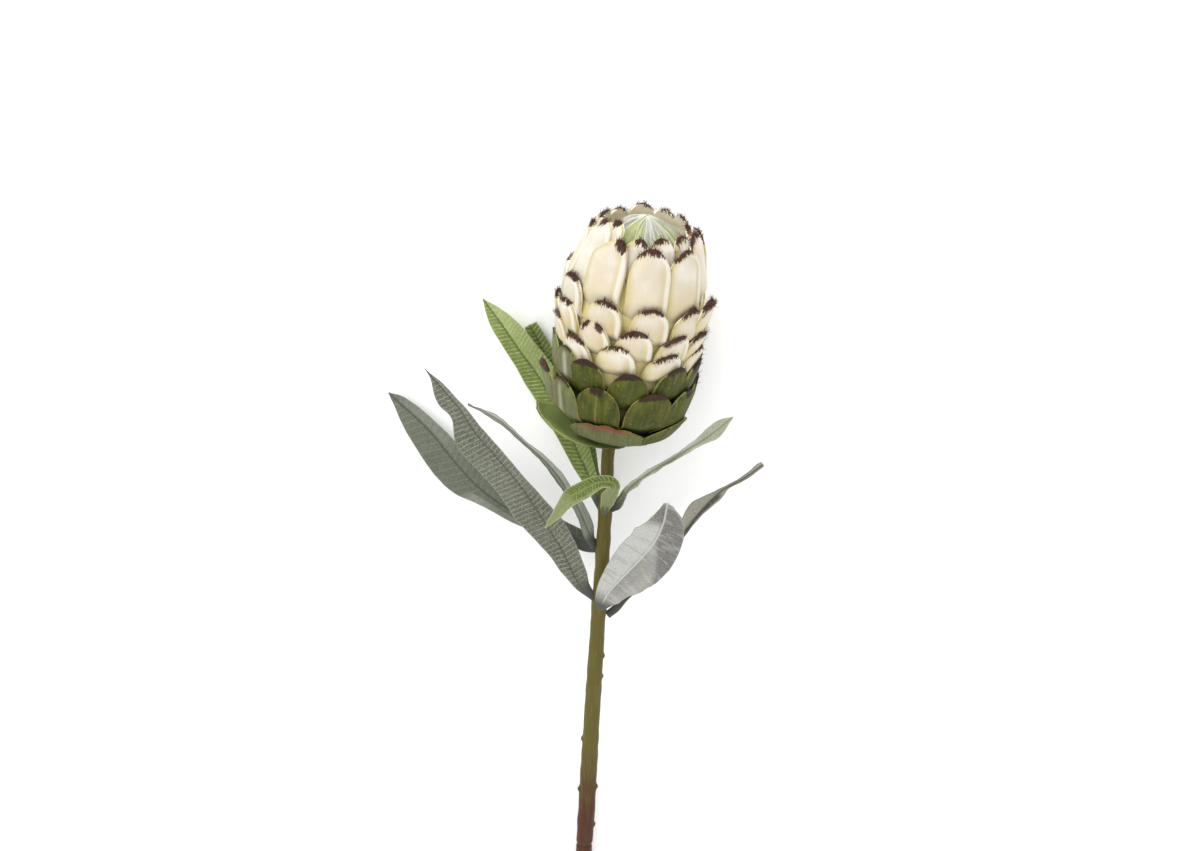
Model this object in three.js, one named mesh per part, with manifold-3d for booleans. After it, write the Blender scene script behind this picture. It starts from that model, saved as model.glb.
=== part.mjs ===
// A cut protea lying on a table: the flower head with its cream and green bracts
// and the dome of florets in its mouth, the stem, and nine leaves.
// Millimetres, +Z up, the table at z = 0. The origin is the small flat on which
// the head rests; the head points along +Y and the stem runs back along -Y.
import * as THREE from "three";
import { mergeVertices } from "three/addons/utils/BufferGeometryUtils.js";
import Module from "manifold-3d";

const wasm = await Module();
wasm.setup();

const { degToRad, lerp, clamp, smoothstep, mapLinear } = THREE.MathUtils;

// How the head lies.
const HEAD_RISE = 6; // degrees its axis climbs from the table toward its tip
const HEAD_SWING = 8.5; // degrees its axis swings from +Y toward +X
const BASE_HEIGHT = 36.7; // height of the head's base above the table
const REST_ALONG = 48; // from the base to the resting flat, along the axis

// Clearance between neighbouring pieces.
const GAP = 0.3;

// Outline of the head: distance from its base along the axis, and radius.
const HEAD_OUTLINE = [
  [0, 24], [1, 26.5], [7.5, 33], [20, 40], [32, 41.4], [45, 42.2], [57, 43.2],
  [76, 44.6], [95, 42.6], [114, 38], [123, 35], [133, 28],
];

// The core under the bracts. Its green and its cream part meet at CORE_SEAM.
const CORE_OUTLINE = [[0, 17], [8, 27], [22, 34], [55, 36.5], [80, 38], [104, 33]];
const CORE_SEAM = 40;
const CORE_SIDES = 18;

// The dome of florets in the mouth of the head.
const DOME_OUTLINE = [
  [104.3, 22.8], [112, 23.2], [117.5, 22.2], [122, 19.2],
  [126.5, 14.2], [130, 8.6], [132.4, 4], [133.4, 0.6],
];
const DOME_PLEATS = 22;
const PLEAT_DEPTH = 0.05; // share of the dome's radius

// Bract shape, common to every row.
const BRACT_SINK = 2.6; // a bract lies this much deeper where the row below covers it
const ROOT_DIVE = 5; // extra depth of the root, where it enters the core
const TIP_CHORD = 0.85; // share of the half width that the tip's arc spans
const ROOT_SHARE = 0.4; // share of a bract's length over which its root dives
const MARGIN_GROOVE = 2.4; // from the edge to the groove inside the raised margin
const PUFF_SPAN = [1, 7]; // distances from the edge between which the face puffs up

// Rows of bracts, the innermost first. Heights are along the head's axis, turns
// are degrees about it from its upper side toward +X. "shows" is the length left
// uncovered by the row below, "round" the length of the rounded tip, "bends" are the
// distances from the tip at which the blade bends, "out" is how far the tips stand
// off the outline, and "set" holds what single bracts add to their row's values, with
// "wide" as a factor on the width and "skew" moving the tip to the right.
const CREAM_ROWS = [
  { count: 11, turn: -10.5, tip: 128.5, shows: 20, half: 8.4, length: 32, round: 11, bends: [9], out: -5.5,
    set: { 0: { tip: -1.5, skew: 0.25 }, 3: { tip: 3.5 }, 4: { tip: 4.5 }, 5: { tip: 4 }, 6: { tip: 5 },
      7: { tip: 1.5 }, 8: { tip: 1.5 }, 9: { out: -1 }, 10: { tip: 5, turn: -3 } } },
  { count: 10, turn: 5.5, tip: 124.5, shows: 32, half: 12.8, length: 46, round: 20, bends: [20, 9],
    out: -0.6,
    set: { 0: { turn: 2 }, 1: { turn: 4, skew: 0.2 }, 2: { tip: 5, turn: -3, out: -2 },
      7: { turn: 4, out: -3 }, 8: { tip: 6, turn: 7, out: -3 }, 9: { tip: 2, turn: -2, skew: 0.35 } } },
  { count: 10, turn: 11, tip: 93.5, shows: 15, half: 12, length: 27, round: 14.5, bends: [9], out: 0,
    set: { 0: { turn: 1.5 }, 1: { tip: -2.5, turn: 1.5, skew: 0.25 }, 2: { tip: 1.5, turn: -12, out: 3 },
      7: { tip: 5, turn: -14 }, 8: { tip: 6.5, turn: -4 } } },
  { count: 11, turn: 1.5, tip: 80.2, shows: 13, half: 11.4, length: 24, round: 14, bends: [9], out: 0,
    set: { 0: { turn: 1.5 }, 1: { tip: -2.5, turn: 3, skew: 0.35 }, 2: { tip: -4.5 }, 9: { tip: 4 } } },
  { count: 10, turn: -11.5, tip: 69.5, shows: 12, half: 12.2, length: 23, round: 14.5, bends: [9], out: 0,
    set: { 0: { turn: 2 }, 1: { tip: -3, turn: 6, skew: 0.35 }, 2: { tip: -3.5, turn: 8 },
      8: { tip: 3.5, turn: 8 }, 9: { tip: -2 } } },
];
const GREEN_ROWS = [
  { count: 11, turn: 2, tip: 57.5, shows: 16, half: 12.2, length: 28, round: 16, bends: [9], out: 1.3,
    set: { 0: { tip: -3, turn: 2.5 }, 1: { turn: 7.5, skew: 0.2 }, 2: { turn: 7 },
      5: { tip: -4, turn: 12, out: 1.2 }, 8: { tip: -1, out: -1 }, 9: { tip: 1.6, turn: 9 },
      10: { tip: -1.2, turn: -2 } } },
  { count: 10, turn: 16, tip: 43, shows: 22, half: 13.2, length: 32, round: 17, bends: [9], out: 1.8,
    set: { 0: { turn: 10, wide: 1.12 }, 1: { tip: -1.5, turn: 10 }, 2: { turn: 6 },
      7: { tip: -3, turn: 8, out: 3 }, 8: { tip: -2.8, turn: 4, out: 0.8 },
      9: { tip: -0.4, turn: 1, wide: 1.06 } } },
  { count: 5, turn: -8, tip: 20.5, shows: 17, half: 26, length: 20, round: 15, bends: [8], out: 2.2,
    set: { 4: { tip: -7, turn: -2, out: 9 } } },
];
const CREAM_BRACT = { thick: 2.2, puff: 1.4, rim: 0.9, across: [-1, -0.78, 0, 0.78, 1] };
const GREEN_BRACT = { thick: 1.7, puff: 0.7, rim: 0.2, across: [-1, -0.4, 0.4, 1] };
const JITTER = { turn: 1.2, tip: 0.7 }; // random spread of the bracts, degrees and mm
const SEED = 11;

// The stem, from inside the head to its cut end just above the table.
const STEM_SOCKET = 6; // how far the stem reaches up into the head
const STEM_ROUTE = [
  [-9.1, -56, 35.4], [-10.9, -90, 31.9], [-13.3, -132, 27.4], [-15.9, -174, 22.8],
  [-19.4, -234, 16.2], [-22.7, -296, 9.4],
];
const STEM_END = [-25.4, -340, 4.95];
const STEM_RADII = [[0, 3.6], [0.3, 4.1], [0.45, 4.4], [0.65, 4.8], [0.86, 5.1], [0.92, 4.7], [1, 4.8]];
const STEM_STEPS = 30;
const STEM_SIDES = 12;
const NODE_SWELL = 0.3; // extra radius where leaves leave the stem
const NODE_REACH = 6; // half length of that swelling
const NODE_PLACES = [0.181, 0.257, 0.381]; // shares of the stem's length
const SCARS = [
  // share of the stem's length, degrees about it from its upper side toward +X
  [0.49, -80], [0.536, -100], [0.674, 95], [0.777, -90], [0.784, 88], [0.862, -95],
];
const SCAR_RADIUS = 1.6;
const SCAR_SINK = 0.5; // how deep a scar's centre lies in the stem

// Leaves: the midrib's line from the stem to the tip, the widths left and right of it
// as pairs of share and width, the roll at both ends in degrees, the height of the
// edge's wave, and for a folded leaf its own depth of fold.
const LEAVES = [
  { name: "leaf_left_ribbed", color: 0x7f8f52, roll: [10, 0], wave: 0.5,
    line: [[-13.6, -95, 30.6], [-19.7, -79.2, 25], [-28.3, -61.8, 16.5], [-37, -44.2, 11],
      [-44.7, -30.2, 8.2], [-52.6, -17.3, 8], [-61.6, -4.1, 9.5], [-72.4, 13.3, 13], [-81.5, 27, 16]],
    left: [[0, 1.8], [0.1, 4.1], [0.2, 6.3], [0.3, 7], [0.4, 8], [0.5, 8.5], [0.6, 8.8], [0.7, 7.1],
      [0.8, 6.4], [0.86, 6.3], [0.9, 5.5], [0.95, 3.3], [1, 0.2]],
    right: [[0, 1.8], [0.1, 3.8], [0.2, 6.1], [0.3, 8.6], [0.4, 10.7], [0.5, 11.5], [0.7, 10.2],
      [0.78, 9.7], [0.85, 8.2], [0.9, 6.5], [0.95, 3.7], [1, 0.2]] },
  { name: "leaf_under_head", color: 0x7c8c57, roll: [0, 0], wave: 0.2,
    line: [[-11.7, -96, 27.4], [-16.2, -81, 18.5], [-22.5, -65.1, 10], [-31, -47.5, 4.4], [-39.3, -30, 2.7],
      [-45.1, -13.5, 2.4], [-49.6, -2.3, 2.6], [-55.2, 8.2, 3]],
    left: [[0, 1.7], [0.1, 2.5], [0.2, 4.4], [0.35, 6], [0.5, 6.4], [0.8, 5.2], [1, 3.2]],
    right: [[0, 1.7], [0.05, 1.8], [0.2, 3.1], [0.3, 5.8], [0.5, 6.8], [0.7, 6.3], [0.85, 5.8], [1, 4.7]] },
  { name: "leaf_arched_green", color: 0x84915a, roll: [0, 12], wave: 0.3,
    line: [[-11.8, -97.6, 33.5], [-11.4, -92.2, 39], [-10, -86.2, 46], [-7.9, -80.1, 53], [-5.7, -74.6, 59],
      [-5.4, -70.5, 63], [-8.5, -67.9, 65.5], [-13.7, -67.8, 66], [-18.2, -69.3, 65.5], [-24.3, -73.6, 63],
      [-30.6, -78, 59.5], [-35.1, -84.9, 55], [-39, -91.7, 51], [-42.5, -96.8, 48], [-46, -101.8, 45]],
    left: [[0, 1.3], [0.07, 2.5], [0.16, 3.8], [0.26, 5.8], [0.34, 5.2], [0.39, 3.7], [0.44, 3.6],
      [0.49, 3.7], [0.54, 4.9], [0.61, 5.5], [0.69, 5.4], [0.78, 3.8], [0.87, 2.9], [0.93, 1.8], [1, 0.3]],
    right: [[0, 1.3], [0.07, 2.5], [0.16, 3.6], [0.26, 3.6], [0.34, 2.4], [0.39, 2.4], [0.44, 3.6],
      [0.49, 4], [0.54, 4.7], [0.61, 5.1], [0.69, 4.9], [0.78, 3.7], [0.87, 2.9], [0.93, 1.8], [1, 0.3]] },
  { name: "leaf_right_thin", color: 0xa9b18b, roll: [-50, -35], wave: 0.6,
    line: [[-7.7, -94.4, 32], [-2.6, -88.9, 34], [2.9, -80.3, 37], [12.3, -71.2, 41], [24.2, -62.7, 44],
      [37.1, -53.4, 47], [48.6, -45.1, 49], [61.6, -33.6, 51]],
    left: [[0, 2.8], [0.05, 3.4], [0.1, 2.9], [0.13, 3.6], [0.2, 2.3], [0.3, 1.6], [0.45, 2.1], [0.5, 1.8],
      [0.6, 1.9], [0.65, 1.9], [0.7, 2.1], [0.75, 2.9], [0.8, 3.8], [0.85, 4.4], [0.9, 4.6], [0.94, 3.3],
      [1, 0.2]],
    right: [[0, 2.2], [0.05, 4], [0.1, 3.9], [0.13, 3.2], [0.17, 2], [0.2, 1.9], [0.25, 2.9], [0.3, 1.3],
      [0.35, 1.1], [0.4, 2], [0.43, 2.5], [0.46, 1.6], [0.5, 1.9], [0.63, 2.4], [0.7, 1.9], [0.75, 2.6],
      [0.8, 3.4], [0.83, 4.5], [0.88, 4.9], [0.92, 3.9], [1, 0.3]] },
  { name: "leaf_left_narrow", color: 0xbfbfb1, roll: [45, 60], wave: 0.2,
    line: [[-18, -118.3, 31], [-21.9, -107.1, 29], [-26.9, -95.2, 28], [-32, -86.8, 27], [-38, -77.4, 26],
      [-45.9, -67.9, 25], [-57.7, -57.1, 24], [-72.2, -44.2, 22.5], [-90.5, -34.2, 21]],
    left: [[0, 1.6], [0.05, 3.8], [0.1, 4.4], [0.3, 3.7], [0.4, 3.8], [0.45, 3.5], [0.5, 2.7], [0.55, 1.7],
      [0.7, 1.8], [0.75, 2], [0.8, 2.3], [0.85, 2], [0.9, 1.3], [0.94, 0.2], [0.97, 0.7], [1, 0.8]],
    right: [[0, 1.7], [0.06, 3.5], [0.1, 4.7], [0.15, 5], [0.2, 4.9], [0.25, 4.3], [0.3, 3.6], [0.4, 3.5],
      [0.6, 1.8], [0.7, 1.5], [0.75, 1.8], [0.8, 2.3], [0.85, 2.4], [0.9, 1.4], [0.94, 1], [0.97, 0.4],
      [1, 0.4]] },
  { name: "leaf_left_long", color: 0x8f9184, roll: [12, -4], wave: 1.2,
    line: [[-17.6, -151.4, 27.2], [-25.5, -143, 28.5], [-31.6, -130.3, 30], [-37, -118.2, 31.5],
      [-43.7, -106.5, 33], [-52.3, -91.5, 34.5], [-63.3, -75.1, 36], [-74.8, -60.4, 37], [-86.5, -45.9, 38],
      [-94.7, -32.3, 39], [-104.6, -19.6, 40.5], [-114.2, -7.6, 42]],
    left: [[0, 1.2], [0.04, 1.8], [0.1, 4.1], [0.15, 6.4], [0.2, 7.4], [0.3, 9.9], [0.4, 13.6], [0.45, 13],
      [0.5, 12.7], [0.6, 12.9], [0.7, 13.3], [0.74, 12.1], [0.77, 9.2], [0.8, 6.9], [0.83, 6.8],
      [0.87, 7.9], [0.9, 6.9], [0.93, 4.4], [0.96, 1.6], [1, 0.3]],
    right: [[0, 2.4], [0.04, 4.3], [0.1, 7.2], [0.2, 8.7], [0.3, 9.9], [0.4, 6.9], [0.5, 5.2], [0.6, 4.9],
      [0.7, 4.9], [0.8, 3.6], [0.85, 2.9], [0.9, 2.9], [0.93, 2.8], [0.96, 1.8], [1, 0.3]] },
  { name: "leaf_left_low", color: 0x858c80, roll: [10, 0], wave: 0.8,
    line: [[-15.2, -120.4, 26.6], [-27.5, -115.8, 22], [-46.7, -108.6, 17], [-66.7, -100.8, 13],
      [-84.4, -88.4, 10.5], [-99.7, -71.9, 8.5], [-114, -54, 7], [-137.3, -32, 4.8]],
    left: [[0, 2.3], [0.02, 3.8], [0.05, 5.2], [0.2, 5.5], [0.3, 5.8], [0.4, 5.5], [0.45, 6.6], [0.5, 8.9],
      [0.55, 12.3], [0.6, 13.7], [0.65, 13.8], [0.75, 12.8], [0.8, 11.8], [0.85, 10], [0.9, 7.3],
      [0.95, 3.6], [1, 0.2]],
    right: [[0, 1.8], [0.02, 4.7], [0.05, 6.1], [0.2, 7.3], [0.4, 10.4], [0.6, 8.8], [0.7, 7.8], [0.8, 6.4],
      [0.9, 5.8], [0.94, 5.1], [0.97, 3.5], [1, 0.2]] },
  { name: "leaf_arched_wide", color: 0xb4b4aa, roll: [0, -10], wave: 0.6,
    line: [[-14.7, -156.2, 29.3], [-9.1, -143.8, 36.5], [0.2, -130.1, 46], [9, -117.2, 56],
      [16.6, -103.9, 67], [21.7, -89, 78], [23.8, -74.9, 86]],
    left: [[0, 1.2], [0.03, 3.7], [0.1, 6.3], [0.2, 9.3], [0.3, 11.8], [0.4, 13.5], [0.5, 14.7],
      [0.6, 14.3], [0.7, 14], [0.73, 14.4], [0.76, 13.4], [0.8, 11.2], [0.9, 6.5], [1, 2]],
    right: [[0, 2], [0.03, 4.1], [0.06, 5.9], [0.1, 7.5], [0.2, 9.6], [0.3, 13.5], [0.4, 15.3], [0.5, 16.2],
      [0.6, 16.2], [0.7, 15.2], [0.8, 14.1], [0.9, 11.7], [0.95, 9.1], [1, 3.2]] },
  { name: "leaf_right_low", color: 0x6c6f60, roll: [-30, -30], wave: 0.3, cup: 0.5,
    line: [[-10, -161.9, 24], [0, -153, 23], [11.4, -139.1, 21.5], [23, -124.7, 20.5], [35.4, -111.3, 20.5],
      [44.9, -98.4, 21.5], [57.2, -85.7, 23], [68.9, -78.3, 25], [80.2, -69.1, 27]],
    left: [[0, 2.3], [0.1, 2], [0.4, 4.6], [0.56, 5.3], [0.6, 6.3], [0.65, 6.6], [0.7, 4.3], [0.75, 2.1],
      [0.8, 1.1], [0.9, 1.6], [0.95, 1.8], [0.98, 2.5], [1, 1.9]],
    right: [[0, 2.3], [0.05, 2.7], [0.1, 1.9], [0.3, 3], [0.5, 2.7], [0.55, 2.2], [0.6, 2.3], [0.65, 2.7],
      [0.7, 3.8], [0.75, 4.1], [0.78, 3], [0.8, 1.1], [0.85, 1.3], [0.9, 1.5], [1, 1.5]] },
];
const LEAF_EDGE = 0.9; // thickness at the edge
const LEAF_MIDDLE = 1.3; // thickness at the midrib
const STALK_THICK = 2.2;
const STALK_SHARE = 0.08; // share of the leaf that is stalk
const LEAST_WIDTH = 0.5;
const LEAF_CUP = 0.16; // depth of the fold along the midrib as a share of the width beside it
const FOLD_POWER = 1.5; // above 1 the fold is rounded along the midrib
const WAVE_TURNS = 15; // radians of the edge's wave along the leaf
const LEAF_STEPS = 18;
const LEAF_ACROSS = [-1, -0.5, 0, 0.5, 1];

const UP = new THREE.Vector3(0, 0, 1);
const TABLE_SLAB = [400, 600, 40]; // what is cut away below the table
const MERGE_WITHIN = 1e-4; // corners closer than this are one
const SIMPLIFY_WITHIN = 0.045; // surfaces may move this much when triangles are merged

// The head's own directions: along its axis, its upper side, and its +X side.
const headAxis = new THREE.Vector3(
  Math.sin(degToRad(HEAD_SWING)) * Math.cos(degToRad(HEAD_RISE)),
  Math.cos(degToRad(HEAD_SWING)) * Math.cos(degToRad(HEAD_RISE)),
  Math.sin(degToRad(HEAD_RISE)),
);
const headTop = UP.clone().addScaledVector(headAxis, -headAxis.z).normalize();
const headSide = new THREE.Vector3().crossVectors(headAxis, headTop);
const headBase = new THREE.Vector3(-headAxis.x * REST_ALONG, -headAxis.y * REST_ALONG, BASE_HEIGHT);

/** A point on the head: turn about the axis, distance along it, distance from it. */
function onHead(turn, along, radius) {
  return headBase.clone()
    .addScaledVector(headAxis, along)
    .addScaledVector(headTop, radius * Math.cos(turn))
    .addScaledVector(headSide, radius * Math.sin(turn));
}

/** Linear reading of a list of [place, value] pairs. */
function readTable(pairs, place) {
  const last = pairs.length - 2;
  let i = 0;
  while (i < last && place > pairs[i + 1][0]) i += 1;
  return mapLinear(place, pairs[i][0], pairs[i + 1][0], pairs[i][1], pairs[i + 1][1]);
}

/** A repeatable stream of random numbers between -1 and 1. */
function randomStream(seed) {
  let state = seed;
  return () => {
    state = (state * 1664525 + 1013904223) % 4294967296;
    return (state / 4294967296) * 2 - 1;
  };
}

/** Closed solid from a geometry, its shared vertices merged. */
function toSolid(geometry) {
  const bare = geometry.clone();
  bare.deleteAttribute("normal");
  bare.deleteAttribute("uv");
  const merged = mergeVertices(bare, MERGE_WITHIN);
  return new wasm.Manifold(new wasm.Mesh({
    numProp: 3,
    vertProperties: new Float32Array(merged.attributes.position.array),
    triVerts: new Uint32Array(merged.index.array),
  }));
}

/** Geometry of a solid's main body: sealed hollows are filled and scraps dropped. */
function toGeometry(solid) {
  const bodies = solid.decompose().sort((a, b) => b.volume() - a.volume());
  const mesh = bodies[0].simplify(SIMPLIFY_WITHIN).getMesh();
  const geometry = new THREE.BufferGeometry();
  geometry.setAttribute("position", new THREE.BufferAttribute(mesh.vertProperties, 3));
  geometry.setIndex(new THREE.BufferAttribute(mesh.triVerts, 1));
  geometry.computeVertexNormals();
  return geometry;
}

/**
 * A thin closed blade. Two like grids make its faces and a band joins their edges.
 * place(i, v, face) gives the point of row i at v across, on face 1 or -1.
 */
function bladeGeometry(rows, across, place) {
  const columns = across.length;
  const grid = new THREE.PlaneGeometry(1, 1, columns - 1, rows - 1);
  const split = Array.from(grid.index.array);
  const count = rows * columns;
  const points = new Float32Array(count * 6);
  const index = [];
  for (let i = 0; i < rows; i += 1) {
    for (let j = 0; j < columns; j += 1) {
      place(i, across[j], 1).toArray(points, (i * columns + j) * 3);
      place(i, across[j], -1).toArray(points, (count + i * columns + j) * 3);
    }
  }
  for (let k = 0; k < split.length; k += 3) {
    index.push(split[k], split[k + 2], split[k + 1]);
    index.push(count + split[k], count + split[k + 1], count + split[k + 2]);
  }
  const edge = [];
  for (let j = 0; j < columns; j += 1) edge.push(j);
  for (let i = 1; i < rows; i += 1) edge.push(i * columns + columns - 1);
  for (let j = columns - 2; j >= 0; j -= 1) edge.push((rows - 1) * columns + j);
  for (let i = rows - 2; i > 0; i -= 1) edge.push(i * columns);
  edge.forEach((from, k) => {
    const to = edge[(k + 1) % edge.length];
    index.push(to, from, count + from);
    index.push(to, count + from, count + to);
  });
  const geometry = new THREE.BufferGeometry();
  geometry.setAttribute("position", new THREE.BufferAttribute(points, 3));
  geometry.setIndex(index);
  return geometry;
}

/** One bract of a row, larger all round by grow. */
function bractSolid(row, form, bract, grow) {
  const half = row.half * bract.wide + grow;
  const tip = bract.tip + grow;
  const arcDrop = (v) => {
    const skewed = v - bract.skew * (1 - v * v);
    return row.round * (1 - Math.sqrt(1 - (TIP_CHORD * skewed) ** 2));
  };
  const root = tip - row.length - 2 * grow;
  const fromTip = [row.length, ...row.bends, MARGIN_GROOVE, 0];
  const place = (i, v, face) => {
    const u = 1 - fromTip[i] / row.length;
    const along = lerp(root, tip - arcDrop(v), u);
    const shoulder = clamp(tip - lerp(root, tip - arcDrop(1), u), 0, row.round);
    const taper = Math.sqrt(1 - (1 - shoulder / row.round) ** 2);
    const width = half * taper;
    const margin = Math.min((1 - Math.abs(v)) * width, fromTip[i]);
    const raised = form.rim * (1 - smoothstep(margin, 0, MARGIN_GROOVE));
    const relief = form.puff * smoothstep(margin, ...PUFF_SPAN) + raised;
    const dive = ROOT_DIVE * (1 - smoothstep(u, 0, ROOT_SHARE));
    const sink = BRACT_SINK * (bract.tip - along) / row.shows + dive;
    const base = readTable(HEAD_OUTLINE, along) + row.out + bract.out * smoothstep(u, 0, 1) - sink;
    const radius = face > 0 ? base + relief + grow : base - form.thick - grow;
    return onHead(bract.turn + (v * width) / base, along, radius);
  };
  return toSolid(bladeGeometry(fromTip.length, form.across, place));
}

/** Every bract of the given rows as solids. */
function bractSolids(rows, form, grow) {
  const solids = [];
  for (const row of rows) {
    const random = randomStream(SEED * row.tip);
    for (let k = 0; k < row.count; k += 1) {
      const own = row.set?.[k] ?? {};
      const bract = {
        turn: degToRad(row.turn + (360 / row.count) * k + (own.turn ?? 0) + JITTER.turn * random()),
        tip: row.tip + (own.tip ?? 0) + JITTER.tip * random(),
        out: own.out ?? 0,
        wide: own.wide ?? 1,
        skew: own.skew ?? 0,
      };
      solids.push(bractSolid(row, form, bract, grow));
    }
  }
  return solids;
}

/** A body of revolution about the head's axis from [along, radius] pairs. */
function onAxis(outline, sides, ripple = () => 1) {
  const closed = [[outline[0][0], 0], ...outline, [outline[outline.length - 1][0], 0]];
  const profile = closed.map(([along, radius]) => new THREE.Vector2(radius, along));
  const geometry = new THREE.LatheGeometry(profile, sides);
  const position = geometry.attributes.position;
  for (let i = 0; i < position.count; i += 1) {
    const along = position.getY(i);
    const turn = Math.atan2(position.getX(i), position.getZ(i));
    const radius = Math.hypot(position.getX(i), position.getZ(i)) * ripple(turn);
    const point = onHead(turn, along, radius);
    position.setXYZ(i, point.x, point.y, point.z);
  }
  return toSolid(geometry);
}

/** The head's core between two distances along the axis, larger by grow. */
function coreSolid(from, to, grow) {
  const inner = CORE_OUTLINE.map(([along]) => along).filter((along) => along > from && along < to);
  const outline = [from, ...inner, to].map((along) => [along, readTable(CORE_OUTLINE, along) + grow]);
  outline[0][0] -= grow;
  outline[outline.length - 1][0] += grow;
  return onAxis(outline, CORE_SIDES);
}

/** What lies below the table, to be cut away. */
function belowTable() {
  const slab = new THREE.BoxGeometry(...TABLE_SLAB);
  slab.translate(0, 0, -TABLE_SLAB[2] / 2);
  return toSolid(slab);
}

const joined = (solids) => solids.reduce((whole, next) => whole.add(next));

// The stem is a turned profile bent along its route, its first points on the head's axis.
const stemPoints = [...STEM_ROUTE, STEM_END].map((p) => new THREE.Vector3(...p));
const stemCurve = new THREE.CatmullRomCurve3([onHead(0, STEM_SOCKET, 0), headBase, ...stemPoints]);

/** Directions at a share of the stem's length: point, along, upper side, +X side. */
function stemFrame(share) {
  const point = stemCurve.getPointAt(share);
  const along = stemCurve.getTangentAt(share);
  const top = UP.clone().addScaledVector(along, -along.z).normalize();
  return { point, along, top, side: new THREE.Vector3().crossVectors(top, along) };
}

/** Radius of the stem, swollen where leaves leave it. */
function stemRadius(share) {
  const length = stemCurve.getLength();
  const swell = NODE_PLACES.map((node) => Math.exp(-((((share - node) * length) / NODE_REACH) ** 2)));
  return readTable(STEM_RADII, share) + NODE_SWELL * Math.max(...swell);
}

/** The stem, larger in radius by grow. */
function stemSolid(grow) {
  const profile = [new THREE.Vector2(0, 0)];
  for (let i = 0; i <= STEM_STEPS; i += 1) {
    profile.push(new THREE.Vector2(stemRadius(i / STEM_STEPS) + grow, i / STEM_STEPS));
  }
  profile.push(new THREE.Vector2(0, 1));
  const geometry = new THREE.LatheGeometry(profile, STEM_SIDES);
  const position = geometry.attributes.position;
  for (let i = 0; i < position.count; i += 1) {
    const frame = stemFrame(position.getY(i));
    frame.point.addScaledVector(frame.side, -position.getX(i)).addScaledVector(frame.top, position.getZ(i));
    frame.point.addScaledVector(frame.along, (position.getY(i) - 0.5) * 2 * grow);
    position.setXYZ(i, frame.point.x, frame.point.y, frame.point.z);
  }
  let stem = toSolid(geometry);
  for (const [share, turn] of SCARS) {
    const frame = stemFrame(share);
    const reach = stemRadius(share) - SCAR_SINK;
    const scar = new THREE.SphereGeometry(SCAR_RADIUS + grow, 6, 5);
    const place = frame.point
      .addScaledVector(frame.top, reach * Math.cos(degToRad(turn)))
      .addScaledVector(frame.side, reach * Math.sin(degToRad(turn)));
    scar.translate(place.x, place.y, place.z);
    stem = stem.add(toSolid(scar));
  }
  return stem;
}

/** Width of a leaf on one side of its midrib, left for negative v. */
function leafWidth(leaf, share, v) {
  return Math.max(LEAST_WIDTH, readTable(v < 0 ? leaf.left : leaf.right, share));
}

/** One leaf, cut clear of the stem. */
function leafSolid(leaf, stemCutter) {
  const curve = new THREE.CatmullRomCurve3(leaf.line.map((p) => new THREE.Vector3(...p)));
  const place = (i, v, face) => {
    const share = i / LEAF_STEPS;
    const along = curve.getTangentAt(share);
    const roll = degToRad(lerp(leaf.roll[0], leaf.roll[1], share));
    const across = new THREE.Vector3().crossVectors(along, UP).normalize().applyAxisAngle(along, roll);
    const normal = new THREE.Vector3().crossVectors(across, along);
    const width = leafWidth(leaf, share, v);
    const stalk = 1 - smoothstep(share, STALK_SHARE / 2, STALK_SHARE * 1.6);
    const thick = lerp(lerp(LEAF_MIDDLE, LEAF_EDGE, Math.abs(v)), STALK_THICK, stalk);
    const fold = (leaf.cup ?? LEAF_CUP) * width * Math.abs(v) ** FOLD_POWER * (1 - stalk);
    const wave = leaf.wave * v * Math.abs(v) * Math.sin(share * WAVE_TURNS) * (1 - stalk);
    return curve.getPointAt(share)
      .addScaledVector(across, v * width)
      .addScaledVector(normal, fold + wave + (face * thick) / 2);
  };
  return toSolid(bladeGeometry(LEAF_STEPS + 1, LEAF_ACROSS, place)).subtract(stemCutter);
}

const part = new THREE.Group();

/** Adds one piece with its colour and surface. */
function addPiece(name, solid, color, roughness) {
  const material = new THREE.MeshStandardMaterial({ color, roughness, metalness: 0 });
  const mesh = new THREE.Mesh(toGeometry(solid), material);
  mesh.name = name;
  part.add(mesh);
}

const table = belowTable();
const stemCutter = stemSolid(GAP);
const coreTop = CORE_OUTLINE[CORE_OUTLINE.length - 1][0];
const greenCutter = joined([coreSolid(0, CORE_SEAM, GAP), ...bractSolids(GREEN_ROWS, GREEN_BRACT, GAP)]);
const green = joined([coreSolid(0, CORE_SEAM, 0), ...bractSolids(GREEN_ROWS, GREEN_BRACT, 0)]);
const cream = joined([coreSolid(CORE_SEAM, coreTop, 0), ...bractSolids(CREAM_ROWS, CREAM_BRACT, 0)]);
const pleats = (turn) => 1 + PLEAT_DEPTH * Math.cos(DOME_PLEATS * turn);
const dome = onAxis(DOME_OUTLINE, DOME_PLEATS * 2, pleats);

addPiece("cream_bracts", cream.subtract(greenCutter).subtract(table), 0xe1d3bb, 0.55);
addPiece("green_bracts", green.subtract(stemCutter).subtract(table), 0x545a2a, 0.7);
addPiece("floret_dome", dome, 0xd2d3ad, 0.5);
addPiece("stem", stemSolid(0), 0x625533, 0.65);
for (const leaf of LEAVES) addPiece(leaf.name, leafSolid(leaf, stemCutter), leaf.color, 0.75);

export default part;
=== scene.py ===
"""Looks of an artificial protea lying on a table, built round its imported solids.

Sizes in the classes are millimetres in the row's frame unless they say otherwise,
angles are degrees, and meshes are made in metres. Every form follows the same rule
as the solid that it stands for, on a finer grid.
"""

from __future__ import annotations

import logging
import math
from collections.abc import Callable, Sequence
from dataclasses import dataclass, field
from enum import Enum
from typing import Any

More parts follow.
